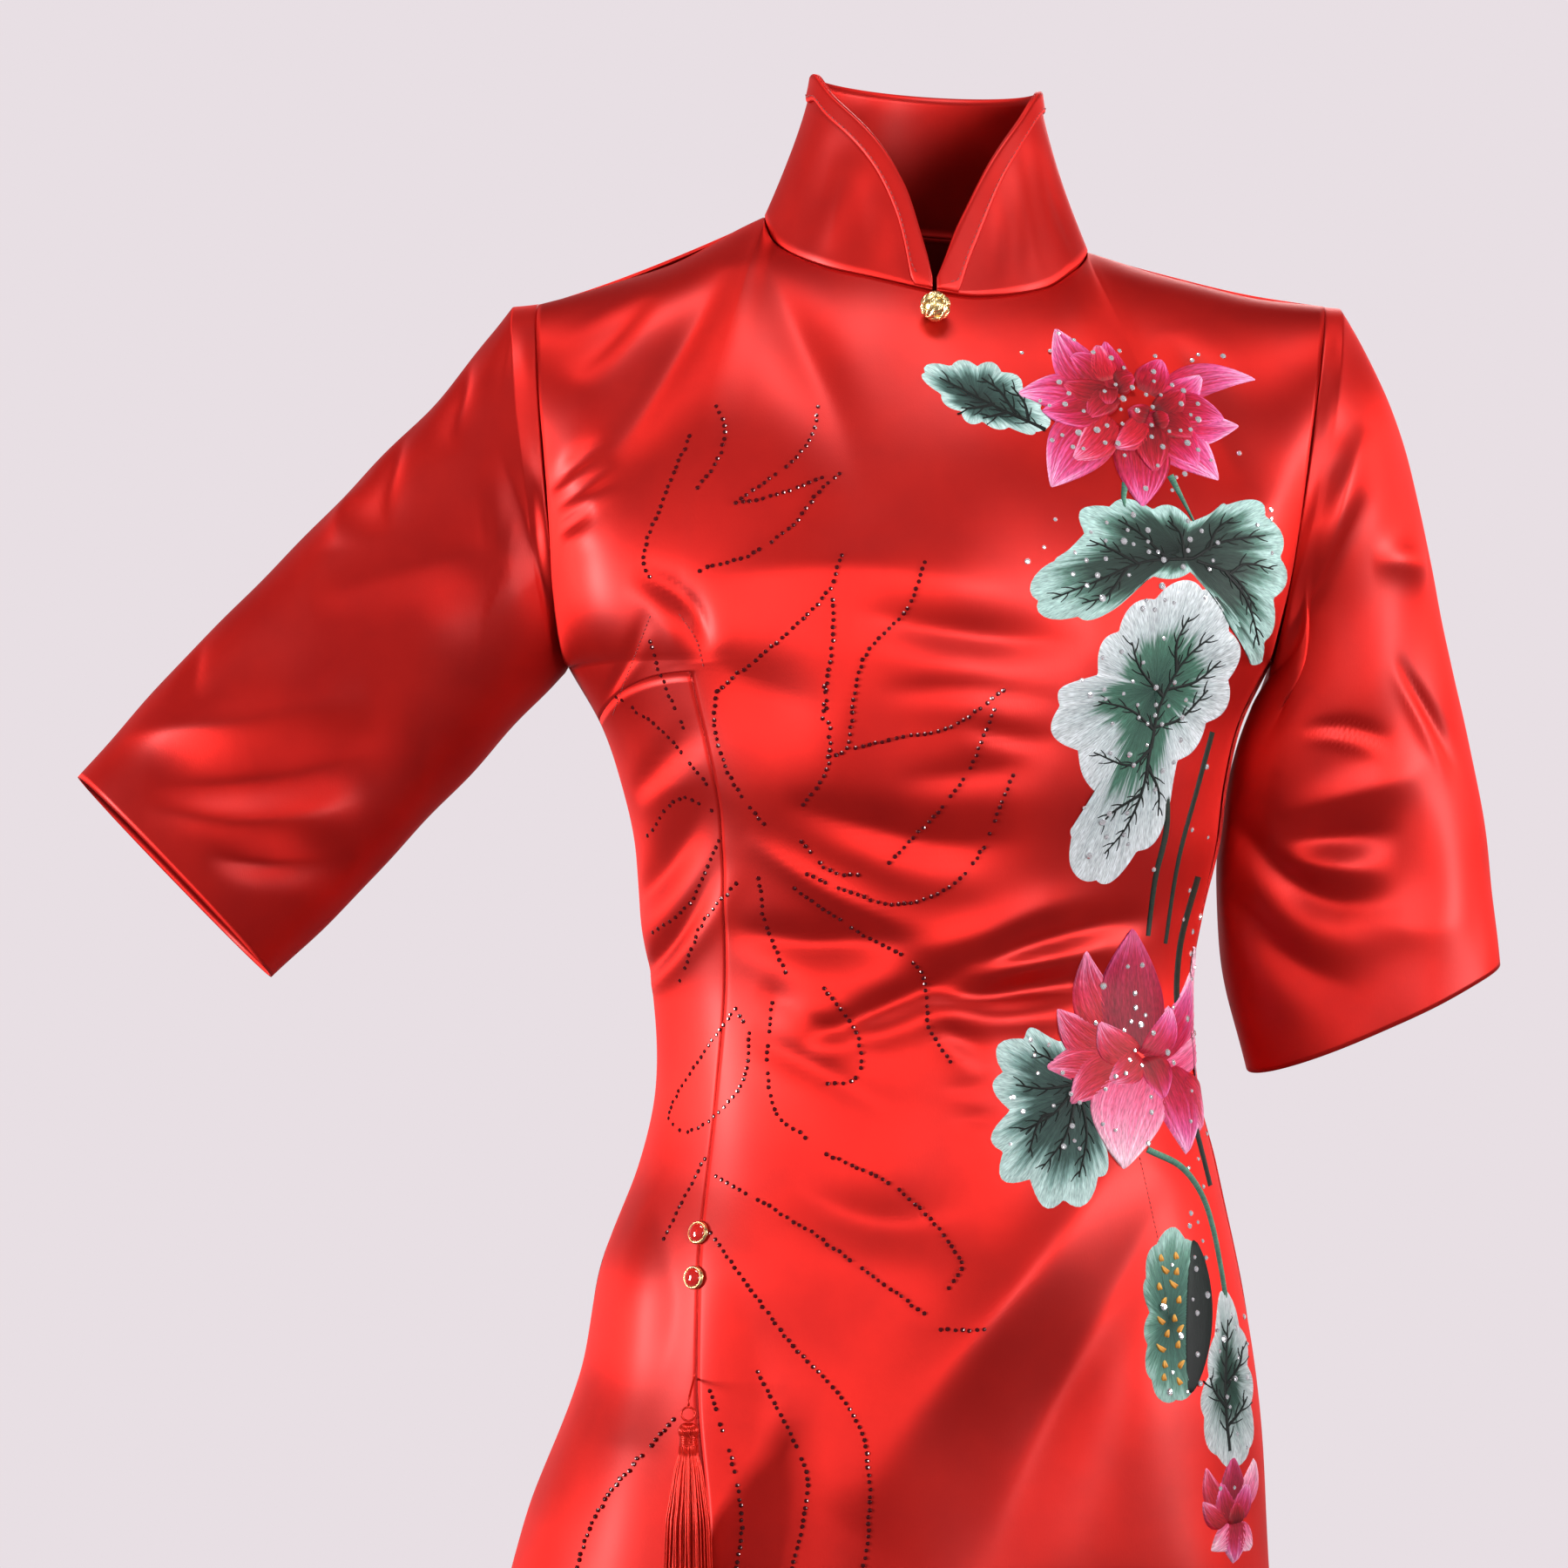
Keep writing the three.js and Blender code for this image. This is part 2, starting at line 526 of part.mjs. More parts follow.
// The parts of the stand at the foot, halfway up, at the lower line of the binding and at the edge.
function collarParts(column) {
  const height = (degrees) => COLLAR_TOP.z - neckPoint(degrees).z;
  const edge = (at) => {
    const degrees = collarDegrees(at);
    const part = Math.min(1, rowAt(COLLAR_STAND, 'turn', degrees).part);
    return { x: radians(degrees) * COLLAR_RADIUS, z: part * height(degrees), part };
  };
  const [before, after] = [edge(Math.max(0, column - 0.5)), edge(Math.min(COLLAR_COLUMNS, column + 0.5))];
  const level = (after.x - before.x) / Math.hypot(after.x - before.x, after.z - before.z);
  const { part } = edge(column);
  const band = BINDING_WIDTH / level / height(collarDegrees(column));
  const line = Math.min(part - LEAST_BAND, Math.max(LEAST_BAND, part - band));
  return [0, line / 2, line, part];
}

function collarGrid(fromRow, toRow) {
  const point = (column, row) => {
    const parts = collarParts(column);
    const below = Math.min(parts.length - 2, Math.floor(row));
    return collarPoint(collarDegrees(column), mix(parts[below], parts[below + 1], row - below));
  };
  return sampleGrid({
    columns: COLLAR_COLUMNS,
    rows: 3,
    point,
    rowStep: (row) => within(row, 0, 3, 1),
    columnStep: (column) => within(column, 0, COLLAR_COLUMNS, FINE),
  }).slice(fromRow, toRow + 1);
}

const collar = () => wallGeometry(collarGrid(0, 3), CLOTH);
const collarBinding = () => wallGeometry(collarGrid(2, 3), BINDING, { raise: SEAM + BINDING });

// ---- Buttons and tassel -----------------------------------------------------------------------
const lathe = (profile, segments) => new THREE.LatheGeometry(
  profile.map(([radius, height]) => new THREE.Vector2(radius, height)), segments);

// The flat facets of the front's cloth, and the place where a line from the front meets one of them.
const frontNodes = faceGrid(FRONT);
const frontFacets = frontNodes.slice(1).flatMap((above, row) => above.slice(1).flatMap((end, column) => {
  const [a, b] = [frontNodes[row][column].at, frontNodes[row][column + 1].at];
  return [[a, b, end.at], [a, end.at, above[column].at]];
}));

function seatOnFront(x, z) {
  const ray = new THREE.Ray(new THREE.Vector3(x, -1000, z), new THREE.Vector3(0, 1, 0));
  const at = new THREE.Vector3();
  const facet = frontFacets.find((corners) => ray.intersectTriangle(...corners, false, at));
  return { at, out: new THREE.Triangle(...facet).getNormal(new THREE.Vector3()) };
}

// How far forwards the upright tassel hangs, so that it just clears the panels all the way down.
function tasselAxisY() {
  const reach = [
    { z: TASSEL.top, radius: TASSEL.wrapRadius }, { z: TASSEL.wrapFoot, radius: TASSEL.wrapRadius },
    ...TASSEL_REACH,
  ];
  let y = Infinity;
  for (const { z, radius } of reach) {
    for (const aside of [-0.3, 0, 0.3, 0.5, 0.7]) {
      const cloth = seatOnFront(TASSEL.x + aside * radius, z).at.y;
      y = Math.min(y, cloth - radius * Math.sqrt(1 - aside ** 2) + TASSEL.sink);
    }
  }
  return y;
}

// ---- The dress --------------------------------------------------------------------------------
const group = new THREE.Group();
const satin = () => new THREE.MeshStandardMaterial({ color: 0xd3201c, roughness: 0.38, metalness: 0 });
const silk = () => new THREE.MeshStandardMaterial({ color: 0xb9161a, roughness: 0.5, metalness: 0 });
const gold = () => new THREE.MeshStandardMaterial({ color: 0xd8b165, roughness: 0.3, metalness: 1 });
const garnet = () => new THREE.MeshStandardMaterial({ color: 0x6d0d18, roughness: 0.1, metalness: 0 });

function add(name, geometry, material) {
  const mesh = new THREE.Mesh(geometry, material);
  mesh.name = name;
  group.add(mesh);
  return mesh;
}

// Sets a piece on the cloth, its own +Y pointing out of it.
function addOnCloth(name, geometry, material, seat, height) {
  const mesh = add(name, geometry, material);
  mesh.position.copy(seat.at).addScaledVector(seat.out, height);
  mesh.quaternion.setFromUnitVectors(new THREE.Vector3(0, 1, 0), seat.out);
}

add('front_centre', centrePanel(), satin());
add('front_side_right', sidePanel(), satin());
add('back', backPanel(), satin());
add('sleeve_right', sleeve('right'), satin());
add('sleeve_left', sleeve('left'), satin());
add('collar', collar(), satin());
add('collar_binding', collarBinding(), satin());

const neckSeat = seatOnFront(NECK_BUTTON.x, NECK_BUTTON.z);
addOnCloth('neck_button', new THREE.SphereGeometry(NECK_BUTTON.radius, 20, 14), gold(),
  neckSeat, NECK_BUTTON.radius + SEAM);

for (const { name, x, z } of CABOCHONS) {
  const seat = seatOnFront(x, z);
  const { radius, bezel, lip, height, base, steps } = CABOCHON;
  const stone = radius - bezel;
  const dome = Array.from({ length: steps }, (_, k) => radians(90 * k / steps))
    .map((turn) => [stone * Math.cos(turn), base + SEAM + (height - base - SEAM) * Math.sin(turn)]);
  dome.push([0, height]);
  addOnCloth(`button_${name}_bezel`, lathe([[0, 0], [radius, 0], [radius, base + lip],
    [stone + SEAM, base + lip], [stone + SEAM, base], [0, base]], 24), gold(), seat, 2 * SEAM);
  addOnCloth(`button_${name}_stone`, lathe([[0, base + SEAM], ...dome], 24), garnet(), seat, 2 * SEAM);
}

const tasselY = tasselAxisY();
function addOnTassel(name, geometry, material, z) {
  const mesh = add(name, geometry, material);
  mesh.position.set(TASSEL.x, tasselY, z);
  mesh.rotation.x = Math.PI / 2;
}
addOnTassel('tassel_threads', lathe([[0, TASSEL.end], ...TASSEL_REACH.toReversed()
  .map(({ z, radius }) => [radius, z]), [0, TASSEL_REACH[0].z]], 20), silk(), 0);
const { top, wrapFoot, wrapRadius, chamfer } = TASSEL;
addOnTassel('tassel_wrap', lathe([[0, wrapFoot], [wrapRadius, wrapFoot], [wrapRadius, top - chamfer],
  [wrapRadius - chamfer, top], [0, top]], 20), silk(), 0);
const loop = add('tassel_loop', new THREE.TorusGeometry(TASSEL.loop, TASSEL.loopWire, 8, 20), silk());
loop.position.set(TASSEL.x, tasselY, top + TASSEL.loop + TASSEL.loopWire + SEAM);
loop.rotation.x = Math.PI / 2;

export default group;
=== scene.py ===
# %% [markdown]
# # A red satin qipao wedding dress
# This lesson dresses a finished construction model. The model holds a worn qipao, the fitted Chinese
# dress with a standing collar, as plain walls: front, side panel, back, two sleeves, collar and trim.
# Here each wall becomes satin with creases, seams and stitches, and the lotus embroidery, the stone
# scrolls, the knot button and the silk tassel are made as real pieces.
#
# The model comes first and stays fixed. Every new piece is placed from it, never the other way round.

# %% Load the model
import math

import bpy
import numpy as np
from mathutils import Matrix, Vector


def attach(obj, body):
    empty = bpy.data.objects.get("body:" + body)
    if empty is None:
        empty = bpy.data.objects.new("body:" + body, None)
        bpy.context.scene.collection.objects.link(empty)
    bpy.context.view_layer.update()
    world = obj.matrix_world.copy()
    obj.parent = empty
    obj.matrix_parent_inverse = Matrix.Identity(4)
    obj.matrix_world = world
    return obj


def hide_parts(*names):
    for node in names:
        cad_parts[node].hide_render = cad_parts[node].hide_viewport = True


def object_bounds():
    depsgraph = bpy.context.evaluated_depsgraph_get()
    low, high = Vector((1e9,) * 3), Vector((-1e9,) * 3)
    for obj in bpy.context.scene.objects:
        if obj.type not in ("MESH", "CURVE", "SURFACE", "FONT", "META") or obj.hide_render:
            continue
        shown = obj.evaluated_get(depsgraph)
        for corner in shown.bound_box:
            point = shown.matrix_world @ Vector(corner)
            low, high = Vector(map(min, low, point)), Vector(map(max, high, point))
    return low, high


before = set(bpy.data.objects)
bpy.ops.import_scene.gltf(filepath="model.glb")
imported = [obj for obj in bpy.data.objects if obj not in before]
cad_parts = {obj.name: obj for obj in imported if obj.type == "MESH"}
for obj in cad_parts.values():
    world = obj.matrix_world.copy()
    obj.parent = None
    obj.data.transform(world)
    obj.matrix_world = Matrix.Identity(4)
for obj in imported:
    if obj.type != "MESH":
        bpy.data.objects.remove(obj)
CAD_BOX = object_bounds()
print(len(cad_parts), "nodes in a box of", np.round(np.subtract(CAD_BOX[1], CAD_BOX[0]), 3), "m")

# %% [markdown]
# ## Camera, floor and light
# The dress is seen from straight ahead at chest height, and the view stops below the hips. A long
# lens keeps the near sleeve from looking large.
#
# Satin is drawn by its light. Even light from all round would make it flat, and one bare lamp would
# make hard spots. So a small key box stands in front on the right, two tall narrow boxes stand far out
# at the sides and rake over the folds, one hangs above in front, and one behind serves the back. Each
# is narrow in spread, so that little of it falls on the floor. The world is a pale wall behind the
# dress and a dimmer room in front, darker still towards floor and ceiling. It fills the shadows only a
# little and gives the cloth something to mirror.

# %% Camera
MM = 0.001                    # the cutting's sizes are in millimetres, as a pattern maker's are
EYE = (-70.0, -2500.0, -271.0)
SHOWN_WIDTH = 774.0           # width of the view at the middle of the dress
SENSOR = 36.0

camera_data = bpy.data.cameras.new("camera")
camera_data.sensor_width = SENSOR
camera_data.lens = SENSOR * -EYE[1] / SHOWN_WIDTH
camera_data.clip_end = 50     # metres, past the far edge of the floor
camera = bpy.data.objects.new("camera", camera_data)
camera.location = [MM * v for v in EYE]
camera.rotation_euler = (math.radians(90), 0, 0)
bpy.context.collection.objects.link(camera)
bpy.context.scene.camera = camera
print("lens", round(camera_data.lens, 1), "mm")

# %% Colours and nodes
def linear(hex_colour, alpha=1.0):
    """An sRGB hex colour as linear light: below 0.04045 a straight line, above it a power of 2.4."""
    parts = [int(hex_colour[k:k + 2], 16) / 255 for k in (1, 3, 5)]
    return tuple(p / 12.92 if p <= 0.04045 else ((p + 0.055) / 1.055) ** 2.4 for p in parts) + (alpha,)


def add_node(tree, kind, settings=None, links=None):
    """Adds one shader node, sets its options or its inputs, and links inputs to (node, output)."""
    node = tree.nodes.new(kind)
    for name, value in (settings or {}).items():
        if name in node.inputs:
            node.inputs[name].default_value = value
        else:
            setattr(node, name, value)
    for name, (source, output) in (links or {}).items():
        tree.links.new(source.outputs[output], node.inputs[name])
    return node


def object_noise(tree, scale, detail):
    """Noise that is fixed to the object. The scale is how many grains lie on each metre."""
    return add_node(tree, "ShaderNodeTexNoise", {"Scale": scale, "Detail": detail},
                    {"Vector": (add_node(tree, "ShaderNodeTexCoord"), "Object")})


def new_material(name, settings):
    """A material of one Principled shader, with its inputs set. Returns it, its tree and the shader."""
    material = bpy.data.materials.new(name)
    material.use_nodes = True
    shader = material.node_tree.nodes["Principled BSDF"]
    for socket, value in settings.items():
        shader.inputs[socket].default_value = value
    return material, material.node_tree, shader


print("mid grey as light:", round(linear("#808080")[0], 3))

# %% Floor
FLOOR_DROP = 0.34             # a mid-calf hem hangs this far above the floor
FLOOR_SIZE = 8.0

floor_mesh = bpy.data.meshes.new("floor")
floor_z = float(CAD_BOX[0][2]) - FLOOR_DROP
corners = np.array([(-1, -1), (1, -1), (1, 1), (-1, 1)]) * FLOOR_SIZE / 2
floor_mesh.from_pydata([(x, y, floor_z) for x, y in corners], [], [(0, 1, 2, 3)])
floor = bpy.data.objects.new("floor", floor_mesh)
bpy.context.collection.objects.link(floor)
# uncoated paper scatters all its light, so it has no gloss, only a faint grain
paper, paper_tree, paper_shader = new_material("matt_studio_paper", {
    "Base Color": linear("#D2CACE"), "Roughness": 0.9})
paper_bump = add_node(paper_tree, "ShaderNodeBump", {"Strength": 0.1, "Distance": 0.002},
                      {"Height": (object_noise(paper_tree, 60.0, 3.0), "Fac")})
paper_tree.links.new(paper_bump.outputs["Normal"], paper_shader.inputs["Normal"])
floor_mesh.materials.append(paper)
print("floor", FLOOR_SIZE, "m wide at z", round(floor_z, 3), "m")

# %% World
DIM_ROOM = ("#343032", "#827B7F", "#827B7F", "#5E585C")    # from floor to ceiling
PALE_WALL = ("#484346", "#E8DFE4", "#E8DFE4", "#746E72")
TONE_PLACES = (0.25, 0.42, 0.62, 0.85)

world = bpy.data.worlds.new("studio")
world.use_nodes = True
sky = world.node_tree
way = add_node(sky, "ShaderNodeSeparateXYZ",
               links={"Vector": (add_node(sky, "ShaderNodeTexCoord"), "Generated")})
level = add_node(sky, "ShaderNodeMapRange", {"From Min": -1.0, "From Max": 1.0}, {"Value": (way, "Z")})
behind = add_node(sky, "ShaderNodeMapRange",
                  {"From Min": 0.35, "From Max": 0.9, "interpolation_type": "SMOOTHSTEP"},
                  {"Value": (way, "Y")})
around = add_node(sky, "ShaderNodeMix", {"data_type": "RGBA"}, {"Factor": (behind, "Result")})
COLOUR_A, COLOUR_B, COLOUR_OUT = 6, 7, 2      # a Mix node has sockets of one name for each kind of data
for tones, socket in ((DIM_ROOM, COLOUR_A), (PALE_WALL, COLOUR_B)):
    ramp = add_node(sky, "ShaderNodeValToRGB", links={"Fac": (level, "Result")})
    stops = ramp.color_ramp.elements
    for place in TONE_PLACES[1:-1]:
        stops.new(place)
    stops[0].position, stops[-1].position = TONE_PLACES[0], TONE_PLACES[-1]
    for stop, tone in zip(stops, tones):
        stop.color = linear(tone)
    sky.links.new(ramp.outputs["Color"], around.inputs[socket])
sky.links.new(around.outputs[COLOUR_OUT], sky.nodes["Background"].inputs["Color"])
bpy.context.scene.world = world
bpy.context.scene.view_settings.view_transform = "Standard"     # colours as they are set
print("world of", 2 * len(TONE_PLACES), "tones")

# %% Lamps
LAMPS = [   # name, place and target in metres, width, height, watts, spread in degrees
    ("key", (1.0, -2.3, 0.1), (0, 0, 0), 0.6, 0.9, 1.9, 34),
    ("right", (2.2, -0.9, -0.05), (0.25, 0, -0.16), 0.4, 1.0, 4.8, 50),
    ("left", (-2.2, -0.7, -0.25), (-0.1, 0, -0.12), 0.4, 0.9, 5.7, 44),
    ("top", (-0.2, -0.9, 1.9), (0, 0, -0.1), 1.2, 0.6, 6.0, 75),
    ("back", (0.4, 2.4, 0.9), (0, 0, -0.4), 1.2, 1.2, 6, 75),
]
for name, place, target, width, height, watts, spread in LAMPS:
    lamp = bpy.data.lights.new(name, "AREA")
    lamp.shape = "RECTANGLE"
    lamp.size = width
    lamp.size_y = height
    lamp.energy = watts
    lamp.spread = math.radians(spread)   # as through a honeycomb
    lamp_object = bpy.data.objects.new(name, lamp)
    lamp_object.location = place
    aim = np.array(target) - np.array(place)
    lamp_object.rotation_euler = (math.acos(-aim[2] / np.linalg.norm(aim)), 0,
                                  math.atan2(aim[1], aim[0]) - math.pi / 2)
    bpy.context.collection.objects.link(lamp_object)
print(len(LAMPS), "soft boxes")

# %% [markdown]
# ## The cutting tables
# A fitted dress is a stack of rings. Each row below is one level of the body: the right and left side
# seams, how far the front and the back stand out, and where the right panel seam runs. A smooth curve
# joins the rows. The model was cut from the same tables, so the satin lands on its walls.

# %% Tables and the curve through them
def table(names, rows):
    """A small table of numbers as one array for each named column."""
    return dict(zip(names.split(), np.array(rows, float).T))


def cubic(t, start, leaving, end, arriving):
    """A cubic from start to end, with its slopes where it leaves and arrives."""
    return ((2 * t**3 - 3 * t**2 + 1) * start + (t**3 - 2 * t**2 + t) * leaving
            + (3 * t**2 - 2 * t**3) * end + (t**3 - t**2) * arriving)


def row_at(rows, key, name, value):
    """One column at any value of the key: a cubic between rows, sloped by the rows on either side."""
    x, y = rows[key], rows[name]
    slope = np.empty_like(y)
    slope[1:-1] = (y[2:] - y[:-2]) / (x[2:] - x[:-2])
    slope[0] = (y[1] - y[0]) / (x[1] - x[0])
    slope[-1] = (y[-1] - y[-2]) / (x[-1] - x[-2])
    value = np.asarray(value, float)
    k = np.clip(np.searchsorted(x, value) - 1, 0, len(x) - 2)
    span = x[k + 1] - x[k]
    t = (value - x[k]) / span
    return cubic(t, y[k], span * slope[k], y[k + 1], span * slope[k + 1])


CHEST, DART, DART_RISE, HEM = -212.0, -241.0, 23.0, -1160.0
ROUNDNESS = 2.25              # 2 is an ellipse, more is squarer
RINGS = table("z right left front back seam", [
    (-1160, -290, 212, 142, 146, -118), (-1040, -275, 202, 138, 142, -116),
    (-900, -254, 190, 132, 137, -112), (-760, -229, 178, 126, 132, -108),
    (-632, -196, 167, 119, 129, -106), (-561, -170, 162, 113, 126, -112),
    (-507, -160, 154, 107, 121, -112), (-460, -141, 144, 101, 110, -108),
    (-421, -132, 134, 96, 99, -103), (-375, -132, 131, 94, 93, -99),
    (-335, -138, 137, 99, 93, -99), (-301, -142, 145, 107, 94, -100),
    (-271, -150, 149, 116, 97, -103), (-241, -160, 156, 121, 101, -110),
    (-212, -175, 170, 124, 104, -116), (-185, -188, 183, 125, 107, -120)])
FLUTE_TOP = -520.0
FLUTES = table("turn width depth", [(20, 13, 9), (72, 12, 8), (128, 14, 13), (163, 10, 7),
                                    (205, 14, 11), (246, 13, 9), (288, 15, 13), (328, 13, 10)])
print(len(RINGS["z"]), "rings,", len(FLUTES["turn"]), "flutes of the skirt")

# %% Small helpers
def ease(t):
    """0 below 0, 1 above 1, and an S curve between."""
    t = np.clip(t, 0, 1)
    return t * t * (3 - 2 * t)


def mix(a, b, t):
    """A straight line from a to b."""
    return a + (b - a) * t


def power(value, exponent):
    """A power that keeps the sign."""
    return np.sign(value) * np.abs(value) ** exponent


def unit(vectors):
    """Vectors of length one."""
    return vectors / np.maximum(np.linalg.norm(vectors, axis=-1, keepdims=True), 1e-9)


def turns_of(count):
    """Even turns round a full circle, in radians."""
    return 2 * np.pi * np.arange(count) / count


def ways_on(out):
    """Two ways along the cloth, aside and up, square to the way out of it."""
    aside = unit(np.cross(out, [0.0, 0.0, 1.0]))
    return aside, np.cross(aside, out)


print("a third of the way, eased:", round(float(ease(1 / 3)), 3))

# %% Rings of the body
def flute_depth(turn, z):
    """Bell-shaped hollows round the skirt, growing from nothing at the hip to the hem."""
    share = ease((FLUTE_TOP - z) / (FLUTE_TOP - HEM))
    away = (np.degrees(turn)[..., None] - FLUTES["turn"] + 180) % 360 - 180
    return share * (FLUTES["depth"] * np.exp(-((away / FLUTES["width"]) ** 2))).sum(-1)


def ring_point(turn, z):
    """A squared ellipse at one level: x from cos(turn), y from sin(turn), less the flutes."""
    turn, z = np.broadcast_arrays(np.asarray(turn, float), np.asarray(z, float))
    right, left = row_at(RINGS, "z", "right", z), row_at(RINGS, "z", "left", z)
    half, centre = (left - right) / 2, (left + right) / 2
    deep = np.where(np.sin(turn) < 0, row_at(RINGS, "z", "back", z), row_at(RINGS, "z", "front", z))
    x = centre - half * power(np.cos(turn), 2 / ROUNDNESS)
    y = -deep * power(np.sin(turn), 2 / ROUNDNESS)
    out = unit(np.stack([(x - centre) / half**2, y / deep**2, 0 * z], -1))
    return np.stack([x, y, z], -1) - out * flute_depth(turn, z)[..., None]


def turn_at_x(x, z):
    """The turn at which a front ring has this x."""
    right, left = row_at(RINGS, "z", "right", z), row_at(RINGS, "z", "left", z)
    return np.arccos(power(((right + left) / 2 - x) / ((left - right) / 2), ROUNDNESS / 2))


print("front of the waist:", np.round(ring_point(np.pi / 2, -400.0), 1), "mm")

# %% Neckline and armholes
NECK_HALF_WIDTH, NECK_HALF_DEPTH = 80.0, 62.0
NECKLINE = table("turn z", [
    (-180, 6), (-135, 9), (-90, 8.6), (-68, -7), (-41, -20), (-20, -27), (0, -33), (18, -36),
    (45, -31), (64, -20), (90, -8.6), (135, 0), (180, 6)])
ARMHOLES = {
    "right": dict(out=-1, tip=(-190, 3, -34), under=(-175, 0, CHEST),
                  forwards=56, backwards=57, swing=3.5),
    "left": dict(out=1, tip=(195, -4, -36), under=(170, 0, CHEST),
                 forwards=56, backwards=57, swing=0.0)}
SHOULDER_SAG = 3.0


def neck_point(degrees):
    """The seam of the collar: an ellipse seen from above, with the heights of the neckline."""
    degrees = np.asarray(degrees, float)
    turn = np.radians(degrees)
    height = row_at(NECKLINE, "turn", "z", (degrees + 180) % 360 - 180)
    return np.stack([NECK_HALF_WIDTH * np.sin(turn), -NECK_HALF_DEPTH * np.cos(turn), height], -1)


def armhole_point(side, turn):
    """From the shoulder tip (turn 0) forwards round the arm: a cosine down, a sine to the front."""
    hole = ARMHOLES[side]
    rise = (1 + np.cos(turn)) / 2
    reach = np.where(np.sin(turn) > 0, hole["forwards"], hole["backwards"])
    x, y, z = [mix(low, high, rise) for low, high in zip(hole["under"], hole["tip"])]
    return np.stack([x + hole["out"] * hole["swing"] * np.abs(np.sin(turn)),
                     y - reach * np.sin(turn), z], -1)


print("shoulder tips", ARMHOLES["left"]["tip"][0] - ARMHOLES["right"]["tip"][0], "mm apart")

# %% Shoulders, front and back
FRONT = dict(columns=28, neck_from=7, neck_to=21, back=False)
BACK = dict(columns=24, neck_from=5, neck_to=19, back=True)
SIDE_COLUMNS = 7
CHEST_ROW, DART_ROW, YOKE_ROWS = 21, 20, 9
LEVELS = np.concatenate([np.linspace(HEM, -640, 6), np.linspace(-640, -480, 5)[1:],
                         np.linspace(-480, -300, 10)[1:], np.linspace(-300, DART, 3)[1:], [CHEST]])


def top_point(face, column):
    """The top of a face: shoulder seam, neckline, shoulder seam."""
    along = (column - face["neck_from"]) / (face["neck_to"] - face["neck_from"])
    start = 90.0 if face["back"] else -90.0
    neck = neck_point(start + 180 * np.clip(along, 0, 1))
    sides = ("left", "right") if face["back"] else ("right", "left")
    first = column < face["neck_from"]
    run = np.where(first, column / face["neck_from"],
                   (face["columns"] - column) / (face["columns"] - face["neck_to"]))[..., None]
    tip = np.where(first[..., None], ARMHOLES[sides[0]]["tip"], ARMHOLES[sides[1]]["tip"])
    shoulder = mix(tip, neck, run)
    shoulder[..., 2] -= SHOULDER_SAG * np.sin(np.pi * run[..., 0])
    return np.where(((along >= 0) & (along <= 1))[..., None], neck, shoulder)


def turn_at_column(face, column, z):
    """Columns share the front between the side panel (up to its seam) and the centre."""
    if face["back"]:
        return np.pi * (1 + column / face["columns"])
    seam = turn_at_x(row_at(RINGS, "z", "seam", z), z)
    beyond = (column - SIDE_COLUMNS) / (face["columns"] - SIDE_COLUMNS)
    return np.where(column <= SIDE_COLUMNS, seam * column / SIDE_COLUMNS, mix(seam, np.pi, beyond))


YOKE = dict(lean=0.97, rise=0.25, neck_lean=0.66, neck_rise=0.75, pull=0.95, reach=0.34)


def yoke_point(face, column, v):
    """From the chest up: each column is a cubic from the ring's slope to the slope of the shoulder or
    of the neck, and near the armholes it is drawn out to their curve."""
    way = -1 if face["back"] else 1
    column, v = np.broadcast_arrays(np.asarray(column, float), np.asarray(v, float))

    def column_point(at):
        turn = turn_at_column(face, at, np.full_like(at, CHEST))
        foot = ring_point(turn, CHEST)
        slope = (ring_point(turn, CHEST + 2) - ring_point(turn, CHEST - 2)) / 4
        head = top_point(face, at)
        rise = (head[..., 2] - foot[..., 2])[..., None]
        neck = ease(1 - np.abs(at / face["columns"] - 0.5) / YOKE["reach"])
        over = np.stack([0 * neck, way * mix(YOKE["lean"], YOKE["neck_lean"], neck),
                         mix(YOKE["rise"], YOKE["neck_rise"], neck)], -1) * rise * YOKE["pull"]
        return cubic(v[..., None], foot, rise * slope, head, over)

    point = column_point(column)
    turn = np.pi * (1 - v) * way
    ends = [(0.0, column, "left" if face["back"] else "right"),
            (face["columns"], face["columns"] - column, "right" if face["back"] else "left")]
    drawn = 0
    for edge, away, side in ends:
        hold = 1 - ease(away / face["columns"] / YOKE["reach"])
        off = armhole_point(side, turn) - column_point(np.full_like(column, edge))
        drawn = drawn + hold[..., None] * off
    return point + drawn


def face_point(face, column, row):
    """Any point of the front or the back: rings up to the chest row, then the yoke."""
    column, row = np.broadcast_arrays(np.asarray(column, float), np.asarray(row, float))
    z = np.interp(row, np.arange(CHEST_ROW + 1), LEVELS)
    if not face["back"]:
        near = ease(1 - np.abs(column - SIDE_COLUMNS) / SIDE_COLUMNS)
        z = z + DART_RISE * near * np.clip(1 - np.abs(row - DART_ROW), 0, 1)
    body = ring_point(turn_at_column(face, column, z), z)
    yoke = yoke_point(face, column, np.clip((row - CHEST_ROW) / YOKE_ROWS, 0, 1))
    return np.where((row > CHEST_ROW)[..., None], yoke, body)


print("top of the front's middle:", np.round(face_point(FRONT, 14, CHEST_ROW + YOKE_ROWS), 1), "mm")

